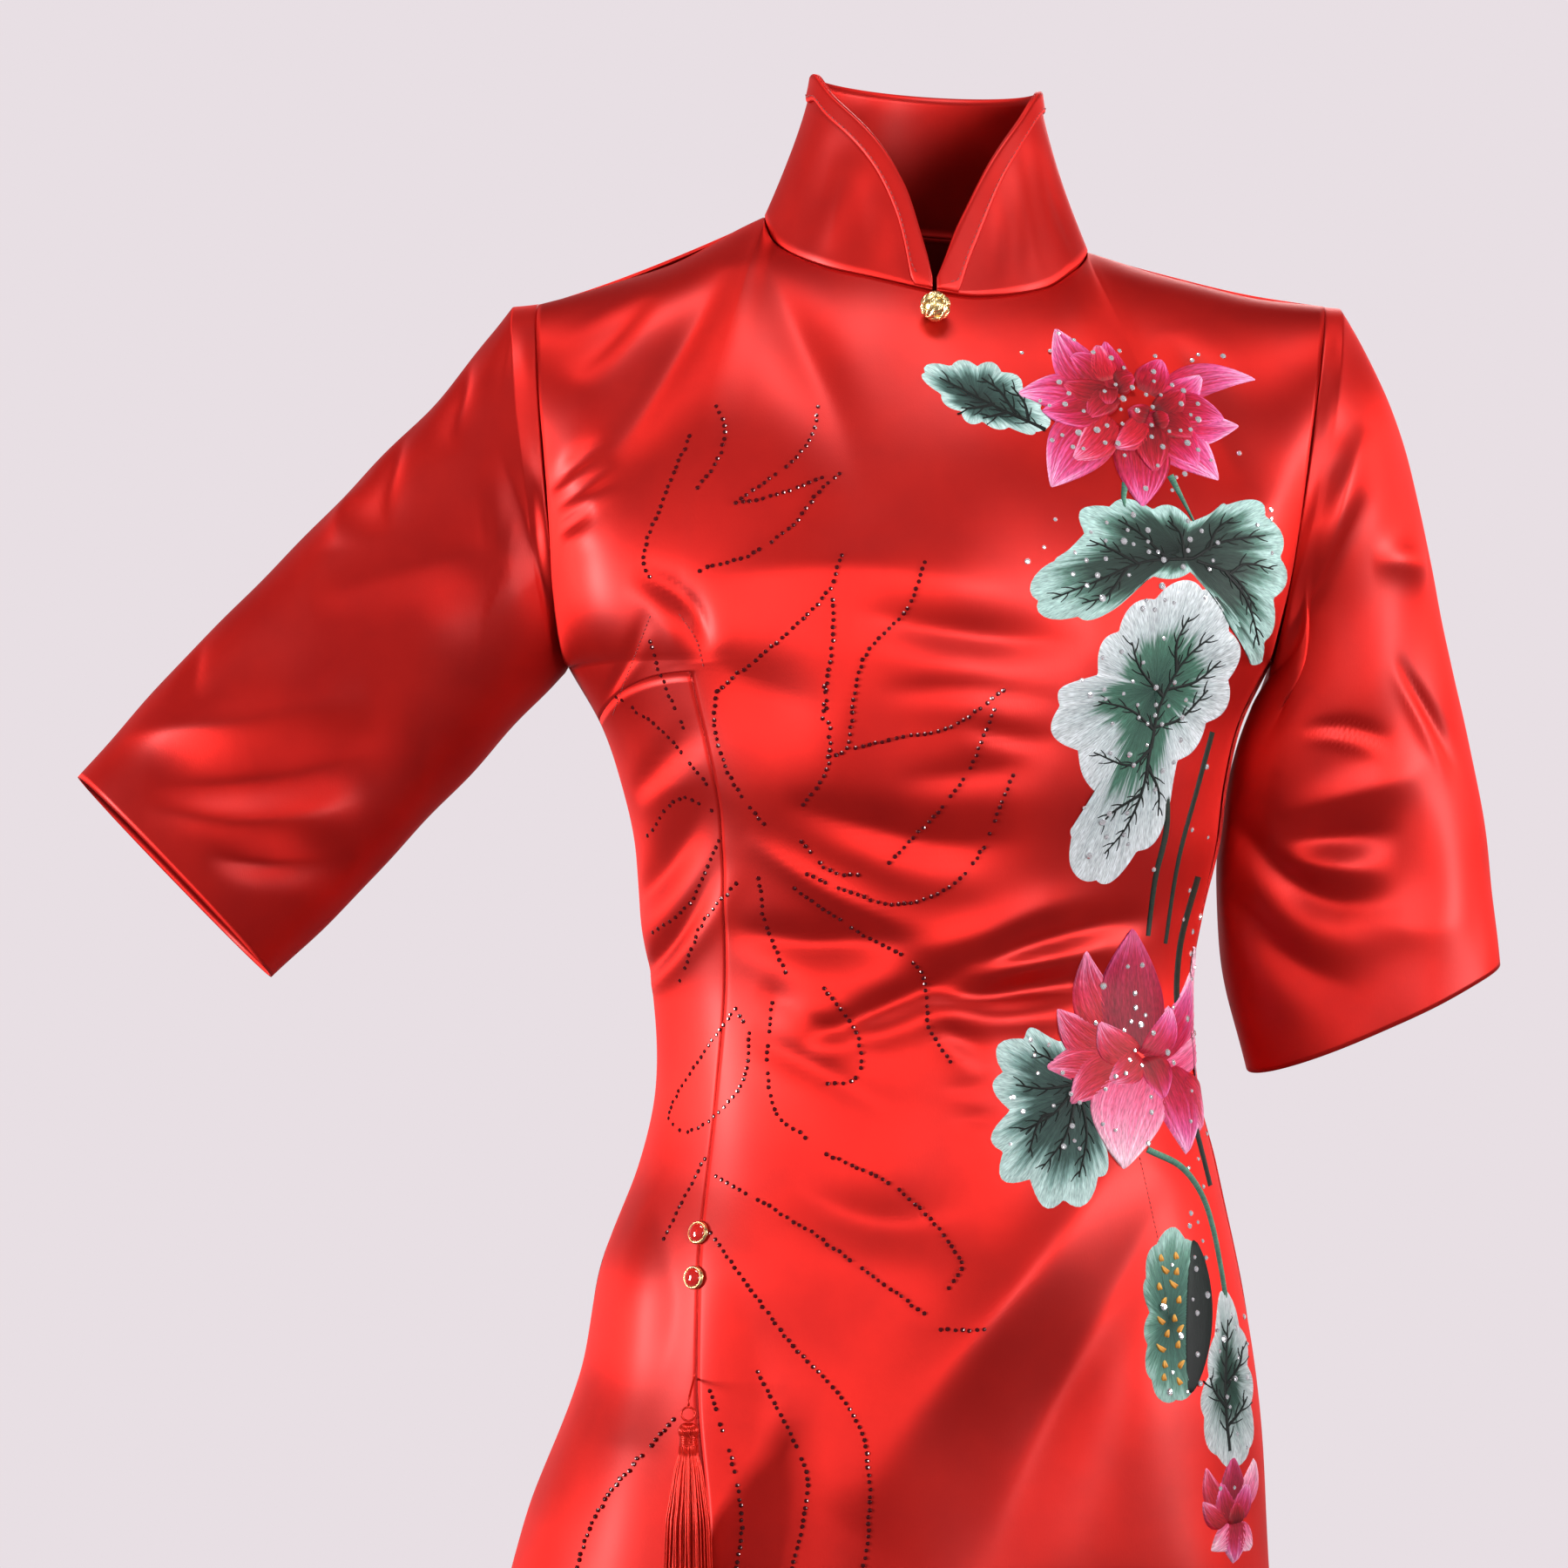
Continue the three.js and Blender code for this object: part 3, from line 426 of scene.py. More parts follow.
# %% Sleeves
SLEEVES = {
    "right": table("out_x out_z in_x in_z y depth swing lead", [
        (-203, -36, -181, -218, 1, 57, 3, 0), (-215, -52, -190, -228, 1, 57, 5, 0),
        (-242, -84, -207, -246, 1, 56, 4, 0), (-277, -119, -226, -267, 0, 54, 2, 0),
        (-315, -158, -248, -290, 0, 51, 0, -1), (-350, -193, -272, -316, -1, 48, 0, -3),
        (-385, -230, -297, -342, -1, 45, 0, -4), (-418, -268, -323, -366, -2, 42, 0, -6)]),
    "left": table("out_x out_z in_x in_z y depth swing lead", [
        (203, -37, 170, -219, 1, 57, 4, 0), (219, -67, 162, -232, 4, 57, 7, 0),
        (232, -95, 155.5, -249, 9, 56, 6, 0), (244, -134, 151.5, -268, 15, 54, 4, 0),
        (256, -188, 149, -290, 21, 51, 2, 0), (268, -236, 146, -315, 27, 48, 0, 1),
        (279, -287, 147, -345, 32, 45, 0, 2), (284, -327, 152, -377, 34, 43, 0, 4),
        (287, -359, 162, -414, 35, 42, 0, 6)])}
SEAM = 0.3                    # the walls of two sewn pieces lie this far apart


def sleeve_point(side, turn, row):
    """Sections of a sleeve joined by cubics, from the armhole (row 0) to the cuff. Turn 0 is the
    outer line and a quarter turn its front."""
    turn, row = np.broadcast_arrays(np.asarray(turn, float), np.asarray(row, float))
    out = ARMHOLES[side]["out"]
    rows = dict(SLEEVES[side], k=np.arange(1.0, len(SLEEVES[side]["y"]) + 1))
    at = np.maximum(row, 1)
    out_x, out_z, in_x, in_z, y, depth, swing, lead = [
        row_at(rows, "k", name, at) for name in "out_x out_z in_x in_z y depth swing lead".split()]
    along = power(np.cos(turn), 2 / ROUNDNESS)
    deep = power(np.sin(turn), 2 / ROUNDNESS)
    axis = unit(np.stack([out * np.abs(out_z - in_z), 0 * y, -np.abs(out_x - in_x)], -1))
    section = np.stack([mix(in_x, out_x, (1 + along) / 2) + out * swing * np.abs(np.sin(turn)),
                        y - deep * depth, mix(in_z, out_z, (1 + along) / 2)], -1)
    section = section + axis * (lead * deep)[..., None]
    head = armhole_point(side, turn) + np.array([out * SEAM, 0, 0])
    return mix(head, section, np.clip(row, 0, 1)[..., None])


right_cuff = sleeve_point("right", 0.0, len(SLEEVES["right"]["y"]))
print("outer end of the right cuff:", np.round(right_cuff, 1), "mm")

# %% Collar
COLLAR_TOP = dict(half_width=56.0, front=46.0, back=48.0, y=-4.0, z=74.0, tilt=-4.0)
COLLAR_WAIST = 1.35           # above 1, the stand draws in more quickly near its foot
COLLAR_FROM, COLLAR_TO = 2.6, 361.0
COLLAR_STAND = table("turn part", [
    (2.6, 0.06), (12, 0.33), (30, 0.63), (57, 0.87), (74, 0.97), (90, 1), (180, 1), (270, 1),
    (286, 0.985), (304, 0.88), (334, 0.68), (350.5, 0.45), (359, 0.17), (361, 0.06)])
BINDING_WIDTH, COLLAR_RADIUS = 11.0, 60.0
LEAST_BAND, LOWEST_BAND = 0.03, 0.006    # shares of the stand: its narrowest, and how low it may lie


def collar_point(degrees, part):
    """Between the neckline and the top loop: even in height, and drawn in quickly above the seam."""
    degrees, part = np.broadcast_arrays(np.asarray(degrees, float), np.asarray(part, float))
    turn = np.radians(degrees)
    foot = neck_point(degrees) + np.array([0, 0, SEAM])
    deep = np.where(np.cos(turn) > 0, COLLAR_TOP["front"], COLLAR_TOP["back"])
    head = np.stack([COLLAR_TOP["half_width"] * np.sin(turn), COLLAR_TOP["y"] - deep * np.cos(turn),
                     COLLAR_TOP["z"] + COLLAR_TOP["tilt"] * np.sin(turn)], -1)
    width = 1 - (1 - part) ** COLLAR_WAIST
    return mix(foot, head, np.stack([width, width, part], -1))


def collar_lines(degrees):
    """The share of the stand at the binding's lower line and at the free edge."""
    def edge(at):
        part = np.minimum(1, row_at(COLLAR_STAND, "turn", "part", at))
        return part, part * (COLLAR_TOP["z"] - neck_point(at)[..., 2])
    half_step = 3.2
    before = np.maximum(COLLAR_FROM, degrees - half_step)
    after = np.minimum(COLLAR_TO, degrees + half_step)
    run = np.radians(after - before) * COLLAR_RADIUS
    level = run / np.hypot(run, edge(after)[1] - edge(before)[1])
    part, _ = edge(degrees)
    band = BINDING_WIDTH / level / (COLLAR_TOP["z"] - neck_point(degrees)[..., 2])
    return np.minimum(part - LEAST_BAND, np.maximum(LOWEST_BAND, part - band)), part


print("top of the collar at the nape:", np.round(collar_point(180, 1), 1), "mm")

# %% [markdown]
# ## Satin walls
# Sewn satin could be simulated, but a worn and pressed dress is steadier when it is modelled. Each wall
# is a fine grid on the cutting's own surface. Creases are listed and laid on it: a crease is a line
# with a width and a depth, and the cloth sinks along it and fades out at its ends. Then the grid gets
# an inner side and turned edges, so that it is a closed thin wall as real cloth is.

# %% Lines on a surface
def distances(line):
    """How far each place of a line is from its start, along the line."""
    return np.concatenate([[0], np.cumsum(np.linalg.norm(np.diff(line, axis=0), axis=1))])


def curve_through(points, count):
    """Evenly spaced places on a smooth curve through a few given ones."""
    points = np.array(points, float)
    rows = {"s": distances(points)}
    rows.update({k: points[:, k] for k in range(points.shape[1])})
    s = np.linspace(0, rows["s"][-1], count)
    return np.stack([row_at(rows, "s", k, s) for k in range(points.shape[1])], -1)


def normals(grid, wrap=False):
    """The way out of a grid of places: the cross product of its steps across and its steps up."""
    across = np.roll(grid, -1, 1) - np.roll(grid, 1, 1) if wrap else np.gradient(grid, axis=1)
    return unit(np.cross(across, np.gradient(grid, axis=0)))


print("a step of the curve:", np.round(curve_through([(0, 0), (3, 4)], 6)[1], 2), "mm")

# %% Creases
def crease(grid, out, line, width, depth, lip=0.0):
    """How far each place of the grid sinks for one crease. With s the distance from the line over its
    width, the sinking is depth * exp(-|s|^1.6), less a ridge lip * exp(-(s - 1.7)^2) on one side. It
    fades at both ends as a sine and is nearly twice as wide at its end as at its start."""
    reach = 4 * width
    near = np.all((grid > line.min(0) - reach) & (grid < line.max(0) + reach), axis=-1)
    places, ways = grid[near], out[near]
    runs = np.diff(line, axis=0)
    lengths = np.linalg.norm(runs, axis=1)
    starts = np.concatenate([[0], np.cumsum(lengths)[:-1]])
    away, along, side = np.full(len(places), 1e9), np.zeros(len(places)), np.ones(len(places))
    for start, run, length, done in zip(line[:-1], runs, lengths, starts):
        t = np.clip((places - start) @ run / length**2, 0, 1)
        off = places - start - t[:, None] * run
        gap = np.linalg.norm(off, axis=1)
        nearer = gap < away
        away = np.where(nearer, gap, away)
        along = np.where(nearer, done + t * length, along)
        side = np.where(nearer, (np.cross(run, ways) * off).sum(-1), side)
    share = np.clip(along / lengths.sum(), 0, 1)
    s = np.sign(side) * away / (width * (0.7 + 0.6 * share))
    fade = np.sin(np.pi * share) ** 1.2
    sunk = np.zeros(grid.shape[:2])
    sunk[near] = depth * fade * (np.exp(-np.abs(s) ** 1.6) - lip * np.exp(-((s - 1.7) ** 2)))
    return sunk


def ripple(grid, size, depth, seed):
    """Soft uneven hollows all over the cloth: five sine waves in seeded directions."""
    chance = np.random.default_rng(seed)
    waves = unit(chance.normal(size=(5, 3))) * (2 * np.pi / size) * chance.uniform(0.6, 1.5, (5, 1))
    return depth * np.sin(grid @ waves.T + chance.uniform(0, 2 * np.pi, 5)).mean(-1)


print("hollow at the origin:", round(float(ripple(np.zeros((1, 1, 3)), 70, 1.0, 3)[0, 0]), 2), "mm")

# %% Meshes from arrays
def new_piece(name, points, faces, material, uv=None, colour=None, smooth=True, weft=None):
    """A mesh object from places in millimetres and an array of faces, with a UV, a colour and a
    direction of the cross threads for each place where they are given. Places without a face are
    left out."""
    used, back = np.unique(faces, return_inverse=True)
    faces = back.reshape(np.shape(faces))
    mesh = bpy.data.meshes.new(name)
    mesh.vertices.add(len(used))
    mesh.vertices.foreach_set("co", (np.asarray(points)[used] * MM).astype(np.float32).ravel())
    mesh.loops.add(faces.size)
    mesh.loops.foreach_set("vertex_index", faces.astype(np.int32).ravel())
    mesh.polygons.add(len(faces))
    mesh.polygons.foreach_set("loop_start", np.arange(0, faces.size, faces.shape[1], dtype=np.int32))
    mesh.update(calc_edges=True)
    mesh.polygons.foreach_set("use_smooth", np.broadcast_to(smooth, len(faces)).copy())
    if uv is not None:
        layer = mesh.uv_layers.new(name="thread")
        layer.data.foreach_set("uv", np.asarray(uv)[used][faces.ravel()].astype(np.float32).ravel())
    if colour is not None:
        layer = mesh.color_attributes.new("dye", "FLOAT_COLOR", "POINT")
        layer.data.foreach_set("color", np.asarray(colour, np.float32)[used].ravel())
    if weft is not None:
        layer = mesh.attributes.new("weft", "FLOAT_VECTOR", "POINT")
        layer.data.foreach_set("vector", np.asarray(weft, np.float32)[used].ravel())
    mesh.materials.append(material)
    piece = bpy.data.objects.new(name, mesh)
    bpy.context.collection.objects.link(piece)
    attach(piece, "root")
    return piece


# %% Faces of grids
def grid_faces(rows, columns, wrap=False):
    """The quads of one grid, turned so that their fronts face along across x up."""
    row, column = np.meshgrid(np.arange(rows - 1), np.arange(columns if wrap else columns - 1),
                              indexing="ij")
    a, b = row * columns + column, row * columns + (column + 1) % columns
    return np.stack([a, b, b + columns, a + columns], -1)


def tri_faces(faces):
    """Quads as triangles, without those that have closed up."""
    both = np.concatenate([faces[:, [0, 1, 2]], faces[:, [0, 2, 3]]])
    return both[(both[:, 0] != both[:, 1]) & (both[:, 1] != both[:, 2]) & (both[:, 2] != both[:, 0])]


def joined(parts):
    """Several pairs of places and faces as one pair."""
    counts = np.cumsum([0] + [len(points) for points, _ in parts])
    return (np.concatenate([points for points, _ in parts]),
            np.concatenate([faces + count for (_, faces), count in zip(parts, counts)]))


def wall(outer, inner, wrap=False, keep=None):
    """A closed wall between two grids: the outer quads, the inner ones turned round, and a strip
    along each free edge. Returns places, faces and which faces are smooth: the strips are flat, so
    the shading runs undisturbed up to a seam."""
    quads = grid_faces(*outer.shape[:2], wrap)
    quads = (quads if keep is None else quads[keep]).reshape(-1, 4)
    edges = np.concatenate([quads[:, [k, (k + 1) % 4]] for k in range(4)])
    total = outer.shape[0] * outer.shape[1]
    free = edges[~np.isin(edges[:, 1] * total + edges[:, 0], edges[:, 0] * total + edges[:, 1])]
    strips = np.stack([free[:, 1], free[:, 0], free[:, 0] + total, free[:, 1] + total], -1)
    faces = np.concatenate([quads, quads[:, ::-1] + total, strips])
    points = np.concatenate([outer.reshape(-1, 3), inner.reshape(-1, 3)])
    return points, faces, np.arange(len(faces)) < 2 * len(quads)


print("faces of a tube of 4 rings of 6:", grid_faces(4, 6, wrap=True).reshape(-1, 4).shape[0])

# %% A satin wall
def cross_threads(out, warp):
    """The way of the cross threads, square to the warp and to the way out of the cloth, once for the
    outer grid and once for the inner one."""
    return np.tile(unit(np.cross(warp, out)).reshape(-1, 3), (2, 1))


WALL = 1.4                    # satin with its backing, a little thinner than the model's wall


def satin_wall(name, grid, sunk, material, wrap=False, keep=None, warp=(0, 0, 1), crisp=0):
    """Sinks the grid along its normals by the creases and makes the closed wall of it. The first
    crisp faces are flat, so that a turned-in edge keeps its own shade."""
    out = normals(grid, wrap)
    outer = grid - out * sunk[..., None]
    points, faces, smooth = wall(outer, outer - normals(outer, wrap) * WALL, wrap, keep)
    smooth[:crisp] = False
    piece = new_piece(name, points, faces, material, smooth=smooth, weft=cross_threads(out, warp))
    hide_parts(name)
    print(name, len(faces) * 2, "triangles")
    return outer


# %% [markdown]
# ## The satin itself
# Silk satin is woven so that long threads float over the face. It is smooth along them and brushed
# across them, so its highlights are broad milky bands rather than round spots, and dark folds lie close
# beside bright ones. Sheen alone would look like velvet, and a glossy coat alone like plastic.
#
# So the shader is mostly metallic, because dense dyed threads colour what they mirror, and anisotropic:
# each wall carries the direction of its cross threads, and the highlight is drawn out along it. A thin
# rough coat adds the milky bloom. A fine bump of stretched noise stands for the weave, about 0.4 mm
# across and coarser than real threads, so that it can be seen. Slow clouds of two near reds keep the
# cloth from looking painted.

# %% Satin material
satin, satin_tree, satin_shader = new_material("red_silk_satin", {
    "Metallic": 0.72, "Anisotropic": 0.82, "Coat Weight": 0.22, "Coat Roughness": 0.38,
    "Specular IOR Level": 0.9, "Specular Tint": linear("#FFA598")})
place = add_node(satin_tree, "ShaderNodeTexCoord")
threads = add_node(satin_tree, "ShaderNodeMapping", {"Scale": (2600.0, 2600.0, 420.0)},
                   {"Vector": (place, "Object")})
thread_noise = add_node(satin_tree, "ShaderNodeTexNoise", {"Scale": 1.0, "Detail": 2.0},
                        {"Vector": (threads, "Vector")})
cloud = object_noise(satin_tree, 28.0, 3.0)
tint = add_node(satin_tree, "ShaderNodeValToRGB", links={"Fac": (cloud, "Fac")})
for stop, share, colour in zip(tint.color_ramp.elements, (0.3, 0.7), ("#B4130F", "#C41912")):
    stop.position, stop.color = share, linear(colour)
satin_tree.links.new(tint.outputs["Color"], satin_shader.inputs["Base Color"])
gloss = add_node(satin_tree, "ShaderNodeMapRange", {"To Min": 0.52, "To Max": 0.60},
                 {"Value": (thread_noise, "Fac")})
satin_tree.links.new(gloss.outputs["Result"], satin_shader.inputs["Roughness"])
weave = add_node(satin_tree, "ShaderNodeBump", {"Strength": 0.25, "Distance": 0.0002},
                 {"Height": (thread_noise, "Fac")})
satin_tree.links.new(weave.outputs["Normal"], satin_shader.inputs["Normal"])
weft = add_node(satin_tree, "ShaderNodeAttribute", {"attribute_name": "weft"})
satin_tree.links.new(weft.outputs["Vector"], satin_shader.inputs["Tangent"])
print(satin.name, "with", len(satin_tree.nodes), "nodes")

# %% [markdown]
# ## Front and side panel
# The front is one grid, cut in two along the bust dart and the panel seam. The creases are those of a
# worn qipao: long diagonals from the neck to the armholes, short pulls at the dart, tight ones across
# the waist that fan out from the left side, a ridge and a valley that run down from the left hip, and
# soft long ones in the skirt.

# %% The grid of the front
FINE = 6                      # fine columns to each column of the model
FRONT_STEPS = [   # from and to a row of the model, and the fine rows between them
    (0, 5, 42), (5, 9, 53), (9, 18, 60), (18, 20, 20), (20, 21, 10), (21, 30, 78)]
NECKLINE_SMOOTHING = 12


def fine_rows(steps):
    """Row numbers with a different fineness from part to part."""
    parts = [np.linspace(low, high, count + 1)[1:] for low, high, count in steps]
    return np.concatenate([[0.0]] + parts)


front_columns = np.arange(FRONT["columns"] * FINE + 1) / FINE
front_rows = fine_rows(FRONT_STEPS)
front_grid = face_point(FRONT, front_columns[None, :], front_rows[:, None])
yoke_share = ease((front_rows - CHEST_ROW) / 2) * ease((CHEST_ROW + YOKE_ROWS - front_rows) / 3)
for _ in range(NECKLINE_SMOOTHING):      # the satin spans the corner of the neckline without a fold
    level = (front_grid[:, :-2, 1] + front_grid[:, 2:, 1]) / 2 - front_grid[:, 1:-1, 1]
    front_grid[:, 1:-1, 1] += 0.5 * yoke_share[:, None] * level


print("front grid", front_grid.shape[:2], "places")

# %% A place on the front
NEWTON_STEPS, LONGEST_STEP = 25, 12


def spot(grid, ways, x, z):
    """The place and the way out of the front at any x and z. Newton's steps on the bilinear grid,
    from a first guess on the rows and columns."""
    x, z = np.broadcast_arrays(np.asarray(x, float), np.asarray(z, float))
    shape = x.shape
    x, z = x.ravel(), z.ravel()
    rows, columns = grid.shape[:2]
    heights = grid[:, columns // 2, 2]
    row = np.interp(z, heights, np.arange(rows))
    column = np.full_like(x, columns / 2)
    for _ in range(NEWTON_STEPS):
        r, c = np.clip(row, 0, rows - 1.001), np.clip(column, 0, columns - 1.001)
        i, j = r.astype(int), c.astype(int)
        u, v = (r - i)[:, None], (c - j)[:, None]
        low_left, low_right, top_left, top_right = (grid[i, j], grid[i, j + 1], grid[i + 1, j],
                                                    grid[i + 1, j + 1])
        at = mix(mix(low_left, low_right, v), mix(top_left, top_right, v), u)
        by_column = mix(low_right - low_left, top_right - top_left, u)
        by_row = mix(top_left - low_left, top_right - low_right, v)
        dx, dz = x - at[:, 0], z - at[:, 2]
        area = by_column[:, 0] * by_row[:, 2] - by_column[:, 2] * by_row[:, 0]
        aside = (dx * by_row[:, 2] - dz * by_row[:, 0]) / area
        upward = (dz * by_column[:, 0] - dx * by_column[:, 2]) / area
        column = c + np.clip(aside, -LONGEST_STEP, LONGEST_STEP)
        row = r + np.clip(upward, -LONGEST_STEP, LONGEST_STEP)
    out = unit(mix(mix(ways[i, j], ways[i, j + 1], v), mix(ways[i + 1, j], ways[i + 1, j + 1], v), u))
    return at.reshape(shape + (3,)), out.reshape(shape + (3,))


front_out = normals(front_grid)
print("middle of the chest:", np.round(spot(front_grid, front_out, 0, CHEST)[0], 1), "mm")

# %% Creases of the front, in x and z
FRONT_CREASES = [   # width, depth (less than 0 for a ridge), lip below, places
    (16, 7.5, 0.2, [(-96, -18), (-122, -60), (-146, -100), (-170, -130)]),
    (9, 2.6, 0.2, [(-134, -34), (-150, -52), (-172, -76)]),
    (5, 2.4, 0.4, [(-186, -130), (-157, -104)]),
    (5, 2.4, 0.4, [(-182, -138), (-150, -116)]),
    (5, 1.8, 0.4, [(-180, -150), (-160, -138)]),
    (15, 4.4, 0.1, [(-80, -16), (-62, -58), (-44, -100), (-30, -150)]),
    (16, -2.5, 0.0, [(-112, -174), (-40, -169), (48, -182)]),
    (12, 4.0, 0.2, [(-40, -190), (18, -201), (78, -206)]),
    (7, 1.3, 0.3, [(-26, -228), (18, -226), (70, -234)]),
    (6, 1.2, 0.3, [(10, -242), (40, -249), (66, -250)]),
    (8, 1.5, 0.2, [(-20, -270), (22, -266), (62, -258)]),
    (20, 3.5, 0.0, [(-114, -204), (-84, -226), (-40, -238)]),
    (9, 3.2, 0.3, [(-72, -280), (-34, -291), (4, -300), (48, -298)]),
    (7, -2.6, 0.0, [(-90, -296), (-51, -321), (-21, -336), (6, -341)]),
    (10, 4.0, 0.2, [(-100, -340), (-58, -347), (-26, -346), (4, -354)]),
    (11, -3.4, 0.0, [(-24, -352), (14, -345), (48, -331), (88, -322)]),
    (6, 3.2, 0.3, [(18, -360), (44, -348), (82, -339), (112, -336)]),
    (7, 4.2, 0.3, [(-64, -394), (-24, -378), (4, -365), (30, -350)]),
    (7, 5.2, 0.3, [(-8, -368), (22, -372), (50, -369), (94, -362)]),
    (5, -2.0, 0.0, [(8, -362), (44, -357), (84, -352)]),
    (12, -3.0, 0.0, [(-76, -378), (-50, -382), (-28, -392)]),
    (5, 1.4, 0.4, [(0, -386), (14, -392), (30, -402)]),
    (8, 1.8, 0.2, [(-88, -392), (-50, -408), (-10, -432)]),
    (8, 1.8, 0.2, [(-84, -368), (-46, -388), (-14, -406)]),
    (6, 3.0, 0.4, [(-136, -366), (-116, -334), (-98, -300)]),
    (11, 3.8, 0.2, [(-140, -330), (-120, -300), (-102, -272)]),
    (7, 1.8, 0.4, [(-144, -276), (-124, -256), (-108, -240)]),
    (3, 1.3, 0.3, [(-158, -232), (-144, -210), (-134, -186)]),
    (6, 1.8, 0.3, [(-118, -180), (-112, -194), (-108, -214)]),
    (7, 3.0, 0.4, [(-142, -168), (-118, -184), (-106, -208)]),
    (6, 2.2, 0.3, [(134, -193), (147, -200)]),
    (14, 4.0, 0.3, [(116, -52), (140, -104), (160, -140)]),
    (3, 0.6, 0.5, [(4, -416), (30, -415)]),
    (3, 0.6, 0.5, [(7, -431), (34, -430)]),
    (14, 3.0, 0.2, [(-70, -462), (-24, -479), (30, -472)]),
    (20, -7.0, 0.0, [(92, -446), (46, -502), (4, -552), (-40, -622)]),
    (24, 8.0, 0.0, [(116, -462), (84, -522), (48, -588), (14, -670)]),
    (18, 3.0, 0.0, [(-96, -500), (-84, -560), (-96, -640)]),
    (18, 2.5, 0.2, [(-135, -470), (-124, -520), (-142, -590)]),
    (22, 5.0, 0.2, [(-40, -600), (-30, -760), (-52, -900)]),
    (22, 5.0, 0.2, [(64, -700), (84, -830), (70, -990)]),
]

DEEPER = 1.2                  # worn satin breaks sharply
CREASE_PLACES = 20            # places on the line of each crease
front_sunk = ripple(front_grid, 70, 1.0, 3) + ripple(front_grid, 150, 3.2, 5)
for width, depth, lip, places in FRONT_CREASES:
    flat = curve_through(places, CREASE_PLACES)
    line, _ = spot(front_grid, front_out, flat[:, 0], flat[:, 1])
    front_sunk += crease(front_grid, front_out, line, width, DEEPER * depth, lip)
print(len(FRONT_CREASES), "creases, the deepest", round(float(front_sunk.max()), 1), "mm")

# %% The seams of the front
SLIT_TOP, SLIT_GAP = -556.0, 5.0
SLIT_SET_BACK = 11.0          # at the hem the side panel lies this much deeper
SLIT_BEND = 2.0               # and it bends back from this column of the model
SEWN = 0.04                   # two sewn edges lie this far from their seam
SEAM_PRESS = 0.15             # a pressed seam sinks this much at its edges

dart_row = int(np.argmin(np.abs(front_rows - DART_ROW)))
seam_column = SIDE_COLUMNS * FINE
front_cells = np.meshgrid(np.arange(len(front_rows) - 1), np.arange(len(front_columns) - 1),
                          indexing="ij")
in_centre = (front_cells[1] >= seam_column) | (front_cells[0] >= dart_row)


def slit_share(z):
    """How far the slit has opened at this height."""
    return np.clip((SLIT_TOP - z) / (SLIT_TOP - HEM), 0, 1)


def moved(grid, cells, across=0.0, up=0.0):
    """Moves some places of a grid along its columns or rows, for the gap of a seam."""
    result = grid.copy()
    result[cells] += np.asarray(across)[..., None] * unit(np.gradient(grid, axis=1))[cells]
    result[cells] += np.asarray(up)[..., None] * unit(np.gradient(grid, axis=0))[cells]
    return result


chest_row = int(np.argmin(np.abs(front_rows - CHEST_ROW)))
low_seam = (slice(0, dart_row + 1), seam_column)
dart_line = (dart_row, slice(0, seam_column + 1))
opening = SEWN + SLIT_GAP / 2 * slit_share(front_grid[low_seam][:, 2])
print("the slit opens to", round(2 * float(opening.max()), 1), "mm at the hem")

# %% Centre of the front
centre_grid = moved(front_grid, (slice(dart_row, chest_row + 1), 0), across=SEWN)
centre_grid = moved(centre_grid, (slice(0, chest_row + 1), -1), across=-SEWN)
centre_grid = moved(centre_grid, low_seam, across=opening)
centre_grid = moved(centre_grid, dart_line, up=SEWN)
centre_sunk = front_sunk.copy()
for cells in (low_seam, (slice(0, chest_row + 1), -1), (slice(dart_row, chest_row + 1), 0)):
    centre_sunk[cells] += SEAM_PRESS
centre_grid[-1, :, 1] -= SEWN
front_face = satin_wall("front_centre", centre_grid, centre_sunk, satin, keep=in_centre)

# %% Side panel
side_grid = moved(front_grid, low_seam, across=-opening)
side_grid = moved(side_grid, dart_line, up=-SEWN)
side_grid = moved(side_grid, (slice(0, dart_row + 1), 0), across=SEWN)
share = slit_share(front_grid[..., 2]) * ease((front_columns - SLIT_BEND) / (SIDE_COLUMNS - SLIT_BEND))
side_sunk = front_sunk + SLIT_SET_BACK * share
for cells in (low_seam, (slice(0, dart_row + 1), 0)):
    side_sunk[cells] += SEAM_PRESS
keep_rows, keep_columns = slice(0, dart_row + 1), slice(0, seam_column + 1)
satin_wall("front_side_right", side_grid[keep_rows, keep_columns], side_sunk[keep_rows, keep_columns],
           satin)

# %% [markdown]
# ## Back
# The back hangs more plainly. Its creases are like those of the front: level at the waist, a long soft
# one below each shoulder blade, and hollows below the seat.

